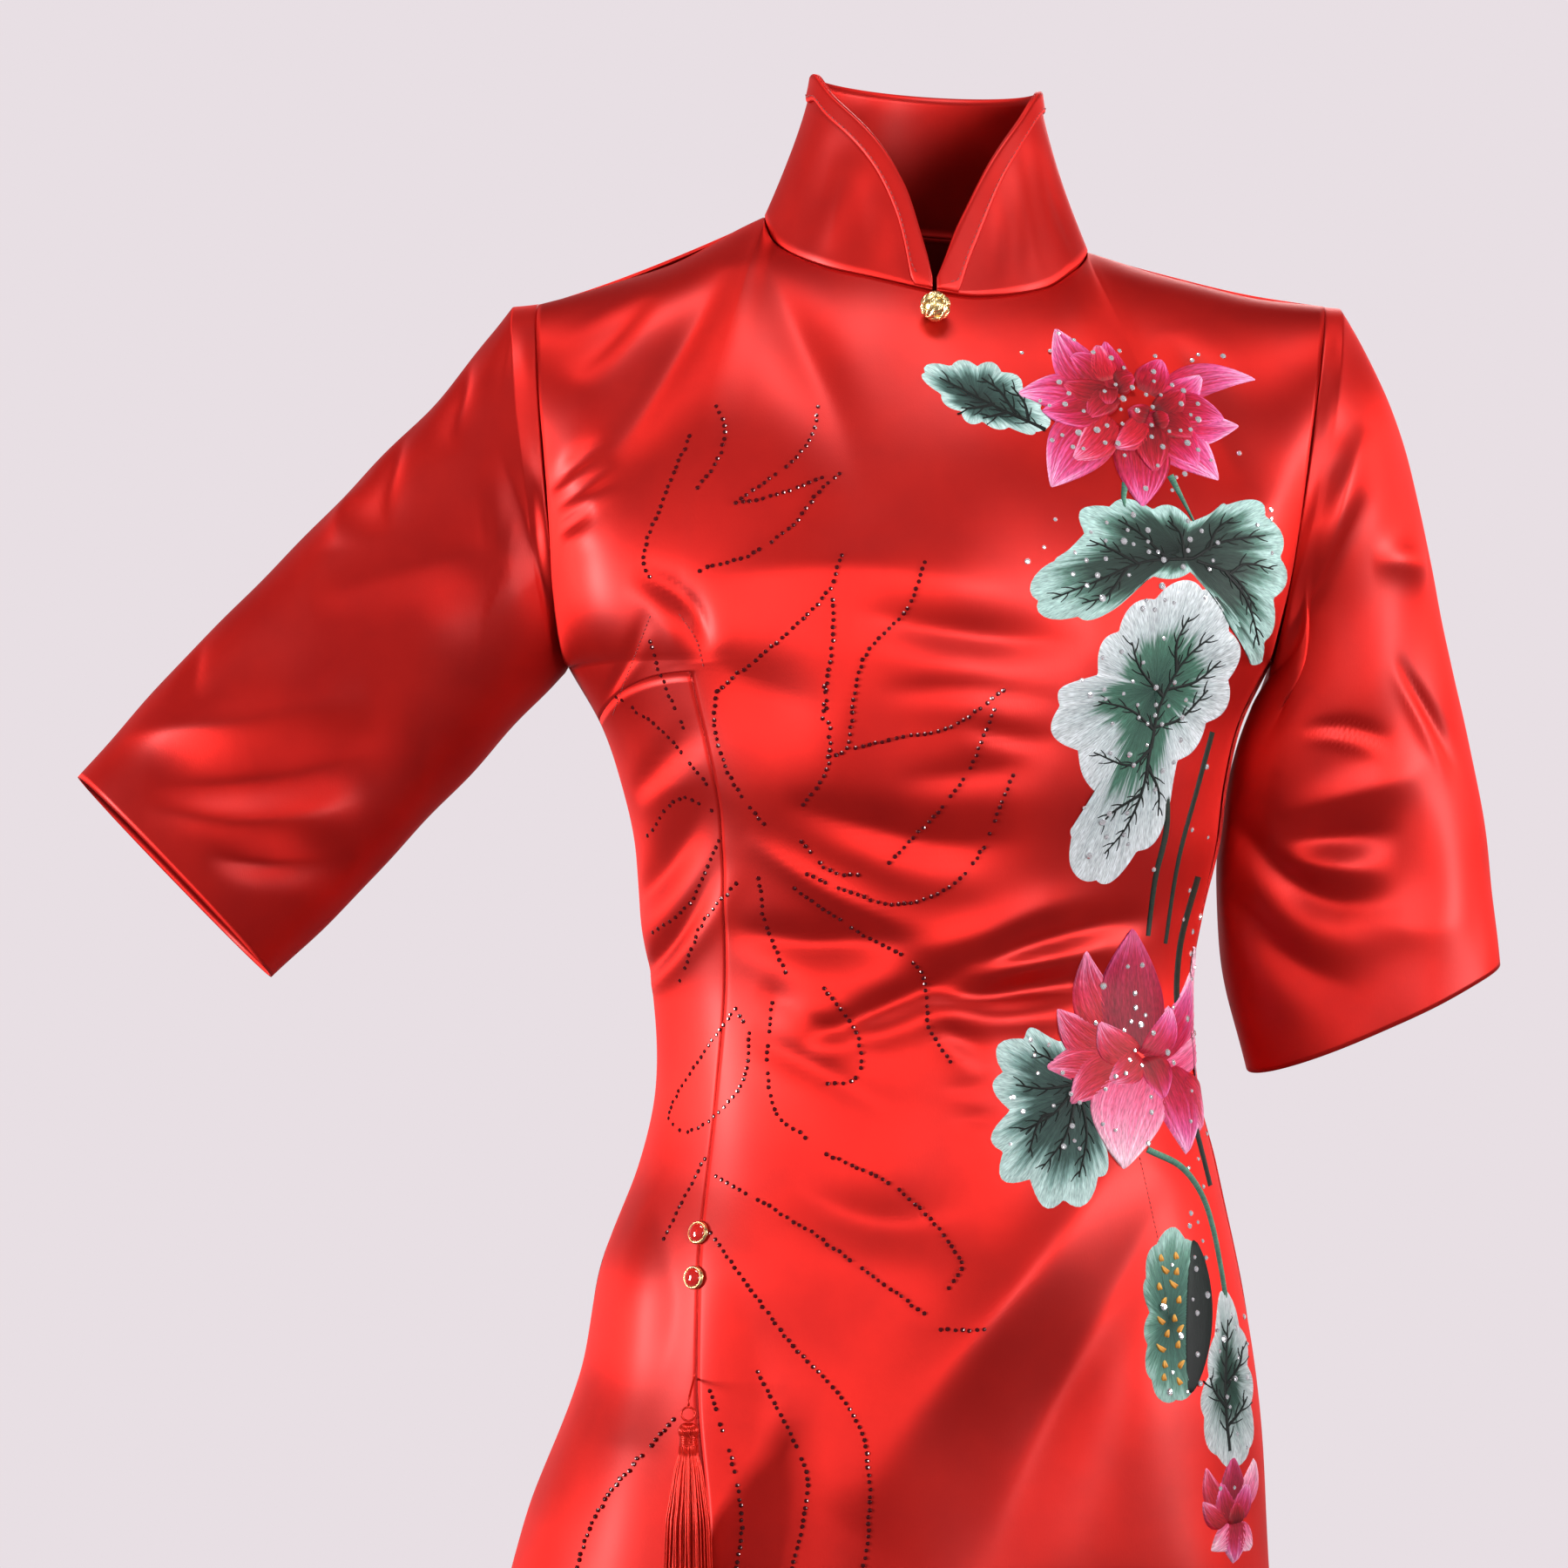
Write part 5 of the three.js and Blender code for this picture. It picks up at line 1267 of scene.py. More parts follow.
# %% Veins of the leaves
VEINS = [   # lift, places from the root of each vein to its end
    (0.55, [(54, -103), (30, -92), (4, -78)]), (0.6, [(40, -96), (32, -84), (24, -78)]),
    (0.6, [(30, -91), (20, -93), (14, -93)]), (0.6, [(46, -99), (44, -90), (38, -82)]),
    (0.6, [(36, -95), (28, -97), (24, -98)]),
    (0.5, [(124, -164), (100, -166), (76, -176), (56, -184)]),
    (0.55, [(124, -164), (138, -156), (160, -152)]), (0.55, [(112, -165), (98, -152), (88, -146)]),
    (0.55, [(120, -164), (118, -152), (112, -146)]),
    (0.55, [(132, -160), (136, -150), (144, -144)]),
    (0.55, [(126, -165), (144, -172), (156, -188)]), (0.55, [(98, -167), (84, -160), (74, -156)]),
    (0.55, [(92, -169), (82, -182), (70, -186)]), (0.55, [(142, -171), (150, -166), (164, -168)]),
    (0.55, [(140, -170), (150, -182), (158, -204)]),
    (0.6, [(104, -254), (108, -234), (120, -212), (134, -200)]),
    (0.6, [(106, -246), (94, -236), (78, -232)]), (0.6, [(110, -230), (98, -216), (94, -204)]),
    (0.6, [(116, -218), (116, -204), (122, -192)]), (0.6, [(106, -244), (118, -240), (132, -226)]),
    (0.6, [(104, -254), (94, -262), (76, -256)]),
    (0.6, [(104, -252), (100, -274), (92, -292), (82, -304)]),
    (0.6, [(102, -262), (108, -274), (108, -286)]), (0.6, [(99, -276), (86, -284), (80, -290)]),
    (0.6, [(112, -226), (126, -222), (138, -212)]), (0.6, [(70, -414), (60, -404), (48, -398)]),
    (0.6, [(70, -414), (72, -400), (74, -392)]), (0.6, [(70, -414), (54, -416), (40, -414)]),
    (0.6, [(70, -414), (58, -428), (42, -436)]), (0.6, [(70, -414), (64, -438), (52, -454)]),
    (0.6, [(70, -414), (74, -438), (70, -458)]), (0.6, [(72, -414), (82, -410), (86, -404)]),
    (0.6, [(58, -428), (52, -430), (46, -446)]), (0.6, [(144, -592), (142, -566), (144, -530)]),
    (0.6, [(143, -572), (136, -562), (134, -556)]), (0.6, [(143, -560), (150, -552), (152, -544)]),
    (0.6, [(143, -580), (150, -574), (154, -568)]),
]
VEIN_WIDTH, SIDE_VEIN_WIDTH, VEIN_TAPER = 2.2, 1.3, 0.4
VEIN_PLACES, SIDE_VEIN_STEP = 60, 3.8
leaves += [ribbon(places, VEIN_WIDTH, "vein", lift, VEIN_TAPER, 0.3) for lift, places in VEINS]
for lift, places in VEINS:    # short side veins, left and right in turn, slanting towards the end
    spine = curve_through(places, VEIN_PLACES)
    length = np.linalg.norm(np.diff(spine, axis=0), axis=1).sum()
    for k, share in enumerate(np.arange(0.1, 0.96, SIDE_VEIN_STEP / length)):
        root = int(share * (VEIN_PLACES - 1))
        at = spine[root]
        run = unit(spine[min(VEIN_PLACES - 1, root + 2)] - at)
        aside = np.array([-run[1], run[0]]) * (1 if k % 2 else -1)
        reach = chance.uniform(4.5, 7.5)
        side_vein = [at, at + reach * 0.5 * (0.8 * run + 0.6 * aside),
                     at + reach * (0.9 * run + 0.5 * aside)]
        leaves.append(ribbon(side_vein, SIDE_VEIN_WIDTH, "vein", lift - 0.05, VEIN_TAPER, 0.25))
print(len(leaves), "with their veins")

# %% Seeds of the pod
SEED_TOP, SEED_PITCH, SEED_HALF_LENGTH, SEED_WIDTH = -497, 7.2, 2.1, 2.9
for row in range(9):          # two uneven columns
    for column in (110.0, 117.5):
        x = column + 2.0 * (row % 2) + chance.normal(0, 0.8)
        z = SEED_TOP - SEED_PITCH * row + chance.normal(0, 0.9)
        lean = chance.normal(0, 1.0)
        leaves.append(petal((x - lean, z - SEED_HALF_LENGTH), (x + lean, z + SEED_HALF_LENGTH),
                            SEED_WIDTH, "seed", bend=0.1, root=0.3, full=1.0, lift=0.7, crown=0.7))
embroider("embroidered_leaves", leaves)

# %% Lotus flowers
PETALS = {
    "upper_lotus": [   # base, tip, width, shade, bend; each petal lies over the ones before it
        ((108, -88), (158, -76), 18, "outer", 0.12), ((106, -94), (149, -99), 22, "outer", -0.08),
        ((100, -98), (138, -126), 26, "outer", 0.08), ((84, -98), (56, -131), 31, "outer", -0.08),
        ((80, -90), (40, -86), 20, "outer", -0.10), ((82, -82), (60, -52), 22, "outer", 0.10),
        ((92, -84), (84, -58), 17, "inner", 0.08), ((104, -84), (112, -66), 19, "inner", 0.0),
        ((112, -88), (132, -74), 17, "outer", -0.08), ((98, -102), (100, -140), 28, "inner", 0.05),
        ((86, -96), (66, -118), 20, "red", 0.10), ((106, -100), (128, -120), 22, "inner", 0.10),
        ((84, -86), (52, -94), 21, "inner", 0.10), ((112, -94), (142, -96), 19, "inner", 0.10),
        ((82, -80), (66, -66), 17, "inner", -0.10), ((84, -80), (80, -60), 15, "red", 0.06),
        ((84, -84), (62, -80), 14, "heart", 0.10), ((88, -84), (74, -98), 16, "heart", -0.08),
        ((88, -82), (98, -76), 13, "heart", 0.08), ((108, -94), (122, -82), 15, "heart", -0.08),
        ((108, -98), (126, -106), 16, "heart", 0.10), ((104, -100), (106, -124), 19, "heart", 0.0),
        ((102, -98), (86, -112), 16, "red", 0.10), ((104, -96), (94, -92), 12, "heart", 0.1),
        ((106, -98), (114, -96), 11, "heart", -0.1), ((84, -82), (84, -92), 11, "heart", 0.0)],
    "middle_lotus": [
        ((112, -404), (134, -350), 18, "pale", -0.10), ((114, -410), (140, -388), 15, "pale", -0.1),
        ((94, -396), (74, -350), 24, "red", 0.12), ((90, -400), (60, -378), 23, "red", 0.12),
        ((92, -408), (54, -406), 23, "red", -0.08), ((106, -404), (128, -366), 17, "outer", -0.10),
        ((100, -400), (97, -340), 34, "dark", 0.04), ((96, -406), (66, -424), 24, "red", -0.14),
        ((112, -412), (133, -440), 20, "red", 0.12), ((112, -408), (124, -450), 24, "outer", 0.10),
        ((102, -408), (92, -455), 39, "pale", -0.07), ((98, -402), (80, -384), 19, "red", 0.14),
        ((104, -402), (116, -378), 16, "outer", -0.12), ((100, -400), (84, -414), 17, "red", 0.12),
        ((104, -402), (112, -424), 16, "inner", 0.08)],
    "lower_lotus": [
        ((144, -622), (132, -598), 12, "red", 0.1), ((146, -622), (146, -594), 14, "dark", 0.0),
        ((148, -622), (158, -598), 12, "pale", -0.1), ((144, -626), (130, -614), 12, "red", 0.1),
        ((146, -626), (140, -606), 12, "inner", 0.1), ((148, -626), (154, -608), 12, "outer", 0.0),
        ((146, -628), (134, -638), 13, "pale", 0.1), ((148, -628), (156, -642), 13, "pale", -0.1),
        ((147, -626), (146, -646), 14, "outer", 0.0), ((147, -628), (147, -616), 10, "heart", 0.0)],
}
LOWEST_PETAL, PETAL_LIFT = 0.25, 0.09    # each petal lies this much higher than the one before it
for flower, petals in PETALS.items():
    patches = [petal(base, tip, width, f"{shade} petal", bend, lift=LOWEST_PETAL + PETAL_LIFT * k)
               for k, (base, tip, width, shade, bend) in enumerate(petals)]
    embroider(flower, patches)

# %% [markdown]
# ## Set stones
# Heat-set stones are small cut domes with a foil back. Dark red ones trace long scrolls over the right
# side of the dress, almost lost in the satin until the light catches them, and clear ones are strewn
# over the flowers. One low dome with eight sides is repeated as a joined mesh, so that each stone costs
# few faces.

# %% A cut stone
STONE_SIDES = 8
STONE_RINGS = [(1.0, -0.25), (1.0, 0.22), (0.6, 0.62)]   # radius and height: foot, girdle, table
STONE_TOP, STONE_FOOT = 0.66, -0.25


def stone_mesh():
    """A dome of flat faces round the axis, all in shares of its radius. Its foot is below the cloth."""
    k = np.arange(STONE_SIDES)
    after = (k + 1) % STONE_SIDES
    ring = np.stack([np.cos(turns_of(STONE_SIDES)), np.sin(turns_of(STONE_SIDES))], -1)
    rings = [np.c_[radius * ring, np.full(STONE_SIDES, height)] for radius, height in STONE_RINGS]
    faces = []
    for low in (0, STONE_SIDES):
        faces += [np.c_[k + low, after + low, after + low + STONE_SIDES],
                  np.c_[k + low, after + low + STONE_SIDES, k + low + STONE_SIDES]]
    table_ring, top, foot = 2 * STONE_SIDES, 3 * STONE_SIDES, 3 * STONE_SIDES + 1
    faces += [np.c_[k + table_ring, after + table_ring, np.full_like(k, top)],
              np.c_[after, k, np.full_like(k, foot)]]
    return np.concatenate(rings + [[[0, 0, STONE_TOP], [0, 0, STONE_FOOT]]]), np.concatenate(faces)


print(len(stone_mesh()[1]), "faces to a stone")

# %% Setting stones
STONE_REACH = 1.3             # a stone rests on the highest thread within this distance


def thread_height(places):
    """How high the embroidery stands at each place: its highest point within a stone's reach."""
    flat = np.concatenate([flat for flat, _ in laid])
    heights = np.concatenate([height for _, height in laid])
    return np.array([heights[np.abs(flat - place).max(1) < STONE_REACH].max(initial=0.0)
                     for place in places])


def stones(name, places, radii, material):
    """Domes joined as one piece, on the cloth or on the threads over it, each at a turn of its own."""
    at, out = on_front(places[:, 0], places[:, 1])
    at = at + out * thread_height(places)[:, None]
    dome, faces = stone_mesh()
    spin = chance.uniform(0, 2 * np.pi, len(at))
    aside, upward = ways_on(out)
    first = aside * np.cos(spin)[:, None] + upward * np.sin(spin)[:, None]
    second = np.cross(out, first)
    points = (dome[None, :, :1] * first[:, None] + dome[None, :, 1:2] * second[:, None]
              + dome[None, :, 2:] * out[:, None]) * radii[:, None, None] + at[:, None]
    every = (faces[None] + len(dome) * np.arange(len(at))[:, None, None]).reshape(-1, 3)
    piece = new_piece(name, points.reshape(-1, 3), every, material, smooth=False)
    print(name, len(at), "stones,", len(every), "triangles")


# %% Foiled glass
# dark red glass over foil: nearly black from most sides, with a small sharp glint from a few
garnet, *_ = new_material("dark_red_foiled_glass", {
    "Base Color": linear("#4A060C"), "Roughness": 0.12, "Metallic": 0.3,
    "Coat Weight": 0.3, "Coat Roughness": 0.08})
# clear glass over foil: a bright white point in whichever facet faces a lamp
clear, *_ = new_material("clear_foiled_glass", {
    "Base Color": linear("#F6F8FB"), "Roughness": 0.1, "Metallic": 0.75,
    "Coat Weight": 1.0, "Coat Roughness": 0.02})
print(garnet.name, "and", clear.name)

# %% Scrolls of dark red stones
SCROLLS = [   # x and z of places along each scroll
    [(-102, -91), (-98, -103), (-102, -118), (-111, -130)],
    [(-115, -105), (-126, -132), (-137, -163), (-133, -176)],
    [(-54, -92), (-57, -107), (-68, -120), (-93, -138)],
    [(-44, -124), (-56, -136), (-66, -149), (-87, -163), (-113, -170)],
    [(-93, -138), (-80, -136), (-66, -132), (-52, -126)],
    [(-43, -163), (-49, -180), (-70, -201), (-102, -227)],
    [(-47, -184), (-47, -201), (-49, -217), (-52, -240)],
    [(-4, -167), (-12, -188), (-33, -213), (-40, -254)],
    [(-51, -225), (-49, -261), (-61, -281)],
    [(-49, -258), (-20, -250), (9, -244), (33, -227)],
    [(-102, -227), (-103, -246), (-95, -269), (-80, -290)],
    [(-62, -298), (-49, -312), (-35, -314)],
    [(29, -236), (13, -271), (-20, -308)],
    [(-59, -314), (-37, -323), (-12, -328), (17, -312), (38, -267)],
    [(-65, -321), (-35, -341), (-5, -360), (-1, -387), (9, -403)],
    [(-82, -316), (-79, -337), (-69, -361)],
    [(-151, -229), (-128, -246), (-107, -271)],
    [(-134, -203), (-128, -221), (-118, -244)],
    [(-136, -296), (-120, -278), (-101, -285)],
    [(-101, -298), (-116, -329), (-134, -343)],
    [(-93, -319), (-109, -337), (-120, -366)],
    [(-93, -379), (-105, -395), (-126, -432), (-116, -439), (-91, -416), (-87, -391), (-93, -379)],
    [(-76, -376), (-78, -403), (-74, -428), (-60, -439)],
    [(-51, -368), (-35, -391), (-35, -410), (-49, -414)],
    [(-50, -447), (-16, -463), (14, -497), (8, -509)],
    [(-103, -459), (-70, -476), (-45, -492), (-4, -521)],
    [(4, -528), (24, -528)],
    [(-105, -486), (-70, -532), (-35, -573), (-30, -619), (-36, -672), (-22, -720)],
    [(-83, -550), (-60, -594), (-61, -619), (-72, -668), (-64, -716)],
    [(-105, -559), (-90, -617), (-98, -676), (-86, -730)],
    [(-123, -574), (-159, -619), (-176, -668)],
    [(-108, -451), (-128, -490)],
]
STONE_PITCH, STRAY, LOST = 3.2, 0.25, 0.05     # some stones lie off their line, and some are lost
strung = []
for places in SCROLLS:
    length = np.hypot(*np.diff(np.array(places, float), axis=0).T).sum()
    line = curve_through(places, int(length / STONE_PITCH) + 1)
    line = line + chance.normal(0, STRAY, line.shape)
    strung.append(line[chance.uniform(size=len(line)) > LOST])
strung = np.concatenate(strung)
stones("garnet_stones", strung, chance.uniform(0.95, 1.15, len(strung)), garnet)

# %% Clear stones over the flowers
CLUSTERS = [   # middle, reach in x and z, how many
    ((100, -96), (44, 32), 78), ((104, -160), (54, 22), 44), ((104, -232), (34, 50), 42),
    ((90, -292), (20, 24), 12), ((100, -396), (30, 46), 34), ((56, -424), (24, 38), 18),
    ((128, -340), (7, 60), 16), ((126, -520), (14, 44), 18), ((146, -574), (10, 56), 20),
    ((60, -62), (26, 10), 9), ((130, -470), (8, 34), 8),
]
STONES_APART, FARTHEST = 4.2, 1.1       # mm, and in shares of the reach
STONE_SIZES, SIZE_SHARES = [1.05, 1.25, 1.5, 1.8], [0.4, 0.3, 0.2, 0.1]
strewn = []
for middle, reach, count in CLUSTERS:
    away = np.clip(chance.normal(0, 0.5, (count, 2)), -FARTHEST, FARTHEST)
    strewn.append(np.array(middle) + np.array(reach) * away)
strewn = np.concatenate(strewn)
apart = np.linalg.norm(strewn[:, None] - strewn[None], axis=-1)
apart[np.tri(len(strewn), dtype=bool)] = np.inf      # each stone keeps clear of those before it
strewn = strewn[apart.min(0) > STONES_APART]
radii = chance.choice(STONE_SIZES, len(strewn), p=SIZE_SHARES)
stones("clear_stones", strewn, radii, clear)

# %% [markdown]
# ## Buttons
# The neck closes with a ball knot: gilt wire wound as a Turk's head, a braid that runs round and round
# a ball and closes on itself. The slit carries two cabochons, smooth red domes in turned gilt rims.

# %% Tubes and turned pieces
def tube(line, radius, facing, sides=8, closed=False):
    """A round tube along a line of places. Each ring starts square to the line and to the way facing,
    which the line never runs along, so that the tube does not twist."""
    run = unit(np.roll(line, -1, 0) - np.roll(line, 1, 0) if closed else np.gradient(line, axis=0))
    guide = unit(np.cross(run, facing))
    other = np.cross(run, guide)
    turn = turns_of(sides)
    radius = np.broadcast_to(np.asarray(radius, float), (len(line),))[:, None, None]
    ring = line[:, None] + radius * (np.cos(turn)[None, :, None] * guide[:, None]
                                     + np.sin(turn)[None, :, None] * other[:, None])
    rows = np.concatenate([ring, ring[:1]]) if closed else ring
    faces = grid_faces(len(rows), sides, wrap=True).reshape(-1, 4)
    count = len(ring) * sides
    if closed:
        return ring.reshape(-1, 3), faces % count
    points = np.concatenate([ring.reshape(-1, 3), line[:1], line[-1:]])
    k = np.arange(sides)
    after, far = (k + 1) % sides, count - sides
    first, last = np.full((sides, 2), count), np.full((sides, 2), count + 1)      # the two closed ends
    return points, np.concatenate([faces, np.c_[after, k, first],
                                   np.c_[k + far, after + far, last]])


def turned(profile, at, out, sides=48):
    """A lathe piece: radius and height pairs turned round the way out of the cloth. Where the radius
    is nothing, the ring is one place, a closed pole."""
    profile = np.array(profile, float)
    aside, upward = ways_on(out)
    turn = turns_of(sides)
    rim = np.cos(turn)[:, None] * aside + np.sin(turn)[:, None] * upward
    points = at + profile[:, 0, None, None] * rim[None] + profile[:, 1, None, None] * out
    ring = np.repeat(np.arange(len(profile)), sides)
    index = np.where(profile[ring, 0] < 1e-6, ring * sides, np.arange(len(ring)))
    quads = grid_faces(len(profile), sides, wrap=True).reshape(-1, 4)
    return points.reshape(-1, 3), index[quads[:, ::-1]]


def replacement(name, parts, material):
    """One piece from several tubes or turned pieces, in place of the model's node of that name."""
    points, faces = joined(parts)
    faces = tri_faces(faces)
    piece = new_piece(name, points, faces, material)
    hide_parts(name)
    print(name, len(faces), "triangles")


print("faces of a tube bent into a triangle:", len(tube(np.eye(3), 0.1, (1, 1, 1), closed=True)[1]))

# %% Gilt metal
# a thin gilt skin mirrors its surroundings in warm yellow, and handling has dulled it in small patches
gold, gold_tree, gold_shader = new_material("polished_gilt_metal", {
    "Base Color": linear("#E9CC90"), "Metallic": 1.0})
gold_wear = object_noise(gold_tree, 900.0, 3.0)
gold_gloss = add_node(gold_tree, "ShaderNodeMapRange", {"To Min": 0.2, "To Max": 0.38},
                      {"Value": (gold_wear, "Fac")})
gold_tree.links.new(gold_gloss.outputs["Result"], gold_shader.inputs["Roughness"])
print(gold.name, "with", len(gold_tree.nodes), "nodes")

# %% Ball knot
KNOT_RADIUS, KNOT_X, KNOT_Z = 7.5, 1.5, -47.0
KNOT_LEADS, KNOT_BIGHTS, WIRE, CORE_RADIUS = 3, 5, 0.8, 6.0
KNOT_LATITUDE = 60            # degrees: the braid swings this far from the middle of the ball
WIRE_STEP = 1.8               # wires side by side, in shares of their radius
WEAVE_DEPTH = 0.45            # the braid passes over and under itself by this much
KNOT_PLACES, WIRE_SIDES, CORE_RINGS, CORE_SIDES = 640, 7, 18, 32
KNOT_TILT = np.array([[0.82, 0.0, -0.57], [0.0, 1.0, 0.0], [0.57, 0.0, 0.82]])   # 35 degrees aside

knot_at, knot_out = on_front(KNOT_X, KNOT_Z)
knot_middle = knot_at + knot_out * (KNOT_RADIUS + SEAM)
t = np.linspace(0, 2 * np.pi, KNOT_PLACES, endpoint=False)
parts = []
for shift in (-1, 0, 1):
    beside = shift * WIRE * WIRE_STEP / KNOT_RADIUS
    height = np.radians(KNOT_LATITUDE) * np.sin(KNOT_BIGHTS * t) + beside
    weaving = WEAVE_DEPTH * np.cos(2 * KNOT_BIGHTS * KNOT_LEADS * t)
    over = KNOT_RADIUS - WIRE + weaving - WEAVE_DEPTH
    turn = KNOT_LEADS * t
    line = over[:, None] * (np.stack([np.cos(height) * np.cos(turn), np.cos(height) * np.sin(turn),
                                      np.sin(height)], -1) @ KNOT_TILT)
    parts.append(tube(line + knot_middle, WIRE, line, WIRE_SIDES, closed=True))
core_turn = np.linspace(0, np.pi, CORE_RINGS)
parts.append(turned(np.c_[CORE_RADIUS * np.sin(core_turn), -CORE_RADIUS * np.cos(core_turn)],
                    knot_middle, knot_out, CORE_SIDES))
replacement("neck_button", parts, gold)

# %% Cabochons
# pressed red glass: clear enough to glow where light enters, with a hard bright spot on its dome
ruby, *_ = new_material("red_glass_cabochon", {
    "Base Color": linear("#DC2018"), "Roughness": 0.04, "Transmission Weight": 0.35, "IOR": 1.6,
    "Coat Weight": 1.0})
CABOCHONS = {"upper": (-110.5, -486.0), "lower": (-112.5, -507.0)}
STONE_RADIUS, BEZEL_RADIUS, STONE_SEAT, STONE_RISE, BUTTON_LIFT = 4.5, 5.7, 1.3, 2.2, 0.5
BEZEL_PROFILE = [   # radius and height, out along the foot, up the rim and in to the stone's seat
    (0, 0), (BEZEL_RADIUS - 0.3, 0), (BEZEL_RADIUS, 0.3), (BEZEL_RADIUS, 0.8),
    (BEZEL_RADIUS - 0.35, 1.2), (BEZEL_RADIUS - 0.5, 1.7), (BEZEL_RADIUS - 0.75, 1.95),
    (STONE_RADIUS + 0.25, 1.8), (STONE_RADIUS + 0.2, 1.1), (0, 1.05)]

dome = np.linspace(0, np.pi / 2, 12)
dome_profile = np.r_[[[0, STONE_SEAT]],
                     np.c_[STONE_RADIUS * np.cos(dome), STONE_SEAT + STONE_RISE * np.sin(dome)]]
for which, (x, z) in CABOCHONS.items():
    at, out = on_front(x, z)
    at = at + out * BUTTON_LIFT
    replacement(f"button_{which}_bezel", [turned(BEZEL_PROFILE, at, out)], gold)
    replacement(f"button_{which}_stone", [turned(dome_profile, at, out)], ruby)

# %% [markdown]
# ## Tassel
# A silk tassel is a skein of twisted threads, folded over a loop and bound with a wound band. Each
# strand is a thin tube of its own that leaves the band, swells out and falls with a slight wave, and no
# two ends are quite level.

# %% Twisted silk
# floss silk glints along each strand in its own red, and the twist breaks the glint into short dashes
silk, silk_tree, silk_shader = new_material("red_twisted_silk", {"Metallic": 0.55, "Roughness": 0.3})
silk_tint = add_node(silk_tree, "ShaderNodeValToRGB",
                     links={"Fac": (object_noise(silk_tree, 700.0, 2.0), "Fac")})
for stop, colour in zip(silk_tint.color_ramp.elements, ("#B4120A", "#F2301C")):
    stop.color = linear(colour)
silk_tree.links.new(silk_tint.outputs["Color"], silk_shader.inputs["Base Color"])
print(silk.name, "with", len(silk_tree.nodes), "nodes")

# %% Strands of the tassel
TASSEL_X, TASSEL_Y = -115.0, -118.8
BAND_TOP, BAND_FOOT, BAND_RADIUS, TASSEL_END = -571.5, -583.0, 4.6, -668.0
STRANDS, STRAND_RADIUS, STRAND_SIDES, TUCKED_IN = 190, 0.48, 5, 1.5
GOLDEN_TURN = 2.399963        # radians: turning by this spreads places evenly over a disc
BELL_PLACES = [0, 0.05, 0.12, 0.42, 0.9, 1]            # shares of the fall
BELL_RADII = [3.9, 4.2, 6.2, 10.6, 12.2, 11.8]         # of the skein there

tassel_middle = np.array([TASSEL_X, TASSEL_Y, 0.0])
up, aside = np.array([0.0, 0.0, 1.0]), np.array([1.0, 0.0, 0.0])
fall = np.linspace(0, 1, 16)
parts = []
for k in range(STRANDS):
    turn, share = GOLDEN_TURN * k, math.sqrt((k + 0.5) / STRANDS)
    phase, sway = chance.uniform(0, 6.28), chance.uniform(0.1, 0.5)
    end = TASSEL_END + chance.uniform(0, 3.5) - 0.2
    radius = share * np.interp(fall, BELL_PLACES, BELL_RADII)
    wave = sway * np.sin(9 * fall + phase) * fall
    line = np.stack([radius * np.cos(turn) + wave * np.sin(turn),
                     radius * np.sin(turn) - wave * np.cos(turn),
                     mix(BAND_FOOT + TUCKED_IN, end, fall)], -1) + tassel_middle
    parts.append(tube(line, STRAND_RADIUS, aside, STRAND_SIDES))
replacement("tassel_threads", parts, silk)

# %% Band of the tassel
WRAPS, COIL_RADIUS, COIL_WIRE, COIL_FROM, COIL_TO = 6, BAND_RADIUS - 0.9, 0.6, 0.6, 5.8
HEAD_THREADS, HEAD_WIRE = 34, 0.45
HEAD_PLACES, HEAD_RADII = [0, 0.12, 0.4, 0.75, 1], [1.6, 3.4, 4.5, 4.2, 3.2]

wound = np.linspace(0, 1, 280)
coil = np.stack([COIL_RADIUS * np.cos(2 * np.pi * WRAPS * wound),
                 COIL_RADIUS * np.sin(2 * np.pi * WRAPS * wound),
                 mix(BAND_FOOT + COIL_FROM, BAND_FOOT + COIL_TO, wound)], -1) + tassel_middle
parts = [tube(coil, COIL_WIRE, up, 6)]
drop = np.linspace(0, 1, 12)
radius = np.interp(drop, HEAD_PLACES, HEAD_RADII)
for turn in turns_of(HEAD_THREADS):      # the folded head of the skein, over the band
    line = np.stack([radius * np.cos(turn), radius * np.sin(turn),
                     mix(BAND_TOP - 0.3, BAND_FOOT + 4.6, drop)], -1) + tassel_middle
    parts.append(tube(line, HEAD_WIRE, [-math.sin(turn), math.cos(turn), 0], STRAND_SIDES))
band_length = BAND_TOP - BAND_FOOT
core_profile = [(0, 0.2), (3.4, 0.2), (3.6, band_length - 4.0), (3.0, band_length - 0.8),
                (0, band_length - 0.3)]
parts.append(turned(core_profile, tassel_middle + up * BAND_FOOT, np.array([0.0, 1e-6, 1.0]), 24))
replacement("tassel_wrap", parts, silk)

# %% Loop of the tassel
LOOP_RADIUS, LOOP_WIRE, LOOP_OFFSET, LOOP_SIDES = 3.2, 0.75, 0.42, 7
HANG_X, HANG_Z, HANG_WIRE = -112.5, -551.0, 0.6     # where the hanging thread enters the seam

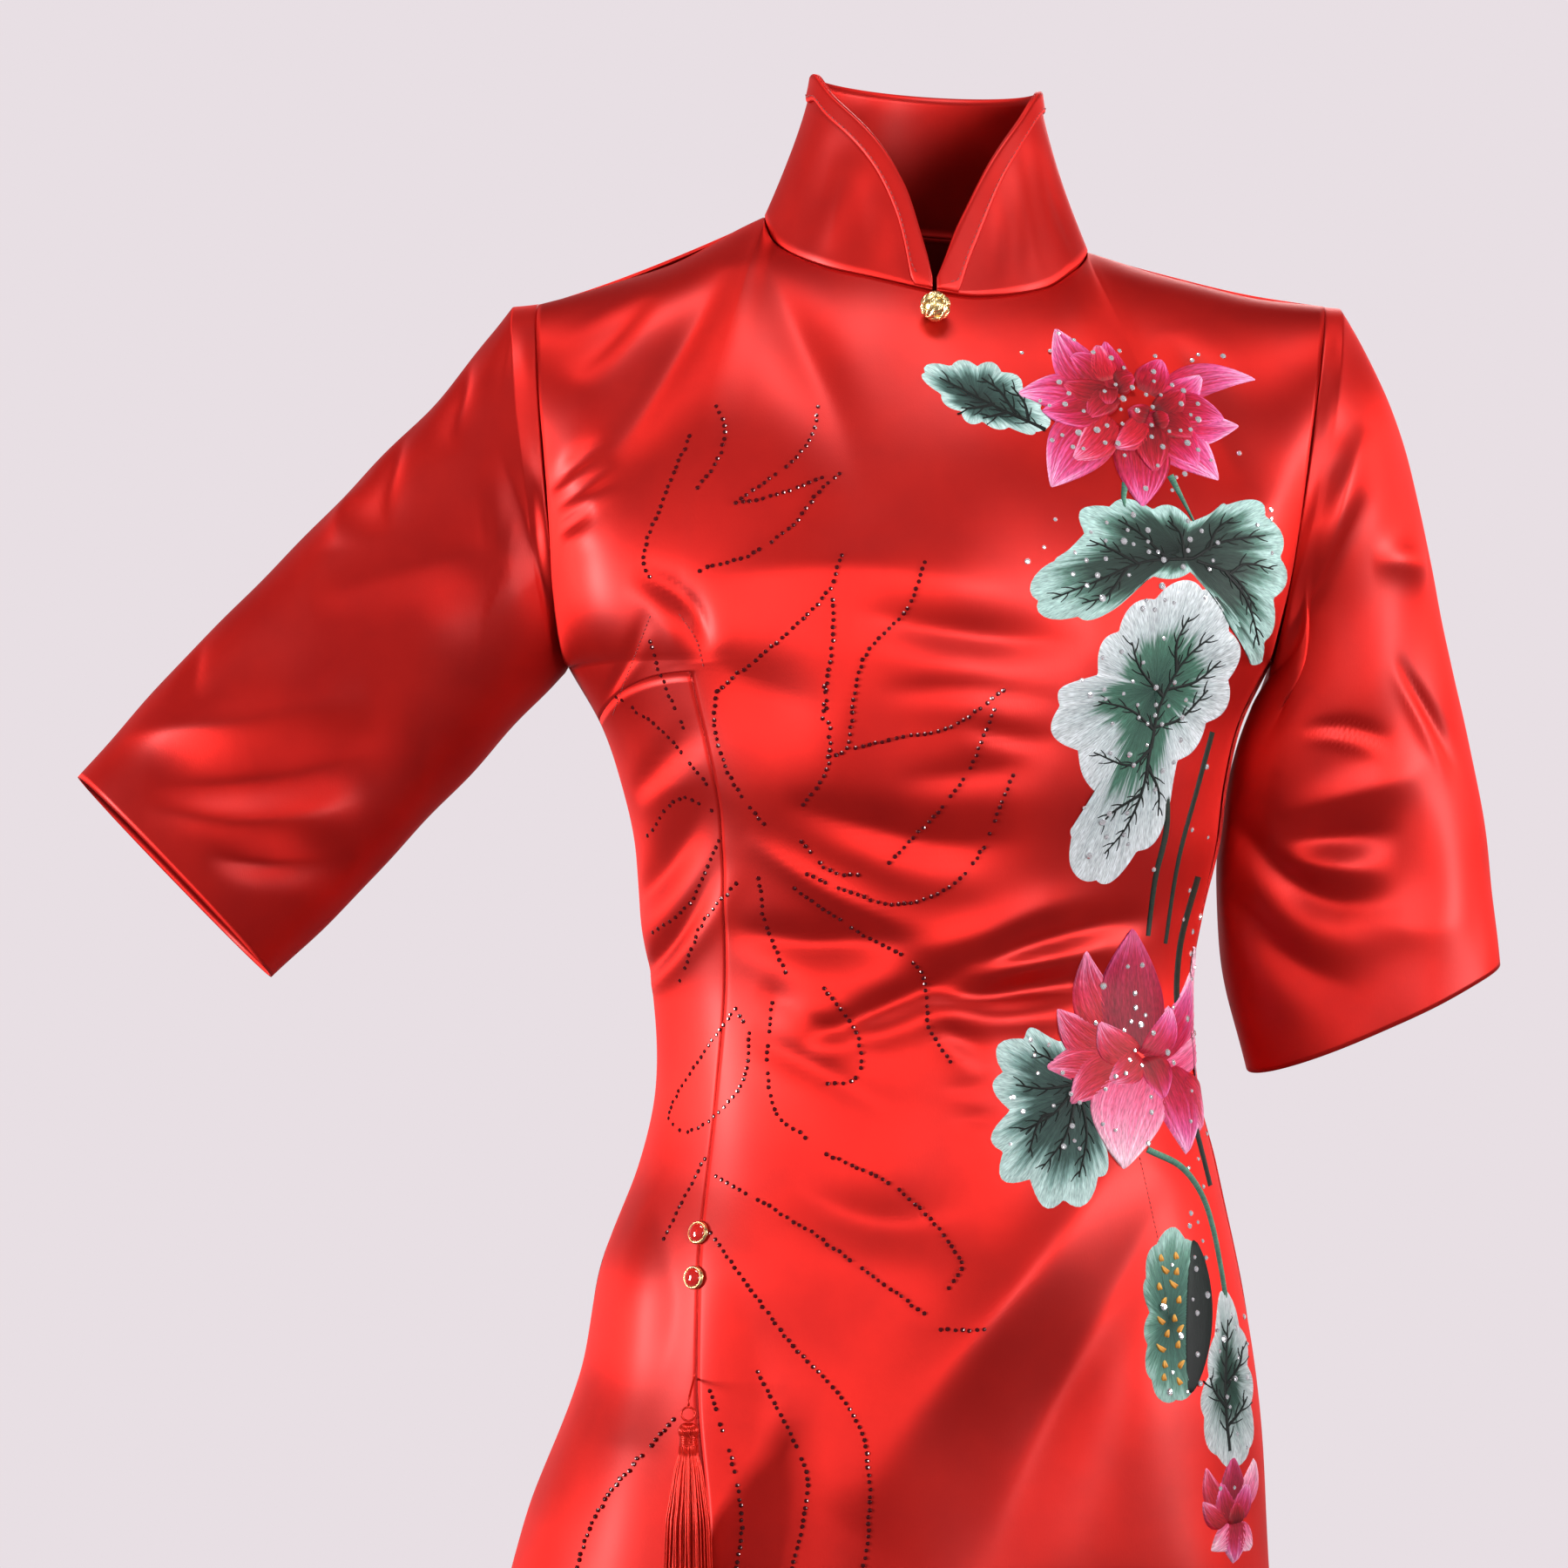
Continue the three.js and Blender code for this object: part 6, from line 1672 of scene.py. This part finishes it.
loop_middle = tassel_middle + up * (BAND_TOP + LOOP_RADIUS + LOOP_WIRE + SEAM)
t = np.linspace(0, 2 * np.pi, 48, endpoint=False)
parts = []
for shift in (-LOOP_OFFSET, LOOP_OFFSET):
    ring = np.stack([LOOP_RADIUS * np.sin(t), shift + 0 * t, LOOP_RADIUS * np.cos(t)], -1)
    parts.append(tube(loop_middle + ring, LOOP_WIRE / 2 + 0.1, [0, 1, 0], LOOP_SIDES, closed=True))
seam_at, seam_out = on_front(HANG_X, HANG_Z)
hang = curve_through([
    loop_middle + up * LOOP_RADIUS, loop_middle + up * (LOOP_RADIUS + 4) + [0.4, 0.3, 0],
    seam_at + seam_out * HANG_WIRE - up * 3, seam_at - seam_out * HANG_WIRE], 20)
parts.append(tube(hang, HANG_WIRE, aside, LOOP_SIDES))
replacement("tassel_loop", parts, silk)

# %% [markdown]
# ## Stitches
# Seams that hold a fold flat are stitched through. Each stitch is a short raised bead of thread, and
# the row of them follows the lower line of the collar band and the dart lines.

# %% A row of stitches
STITCH_SHARES = np.array([0.0, 0.18, 0.5, 0.82, 1.0])
STITCH_RISE, STITCH_SUNK = 0.32, 0.1


def stitch_row(line, out, length=2.0, gap=0.9, radius=0.28):
    """Short beads of thread, one after another along a line on the cloth. Each rises and sinks as a
    sine, and swells as the root of one."""
    s = distances(line)
    rise = STITCH_RISE * np.sin(np.pi * STITCH_SHARES) - STITCH_SUNK
    size = radius * np.sqrt(np.sin(np.pi * (0.04 + 0.92 * STITCH_SHARES)))
    beads = []
    for start in np.arange(0.5, s[-1] - length, length + gap):
        along = start + length * STITCH_SHARES
        at, lift = [np.stack([np.interp(along, s, rows[:, k]) for k in range(3)], -1)
                    for rows in (line, out)]
        beads.append(tube(at + lift * rise[:, None], size, lift, 6))
    return joined(beads)


# spun sewing thread is duller than the satin and a shade darker, so its beads read as a dotted line
stitch_thread, *_ = new_material("red_sewing_thread", {
    "Base Color": linear("#7E0A0C"), "Roughness": 0.5, "Sheen Weight": 0.2})
print(stitch_thread.name)

# %% Stitched lines
STITCHED_ROW = 3              # of the rows across the band, about 2 mm from its lower line
LEFT_OUT = 3                  # places at each end of the band, where it is narrowest
STITCHED_DARTS = [   # x and z of places along each line
    [(-153, -238), (-143, -214), (-133, -190)], [(100, -449), (107, -480), (114, -511)],
    [(-120, -190), (-112, -202), (-108, -216)]]

shown = slice(LEFT_OUT, -LEFT_OUT)
parts = [stitch_row(band_outer[STITCHED_ROW][shown], normals(band_outer)[STITCHED_ROW][shown])]
for places in STITCHED_DARTS:
    flat = curve_through(places, 40)
    line, out = on_front(flat[:, 0], flat[:, 1])
    parts.append(stitch_row(line, out, length=1.6, gap=0.8, radius=0.22))
points, faces = joined(parts)
faces = tri_faces(faces)
stitched = new_piece("stitches", points, faces, stitch_thread)
print("stitches", len(faces), "triangles")
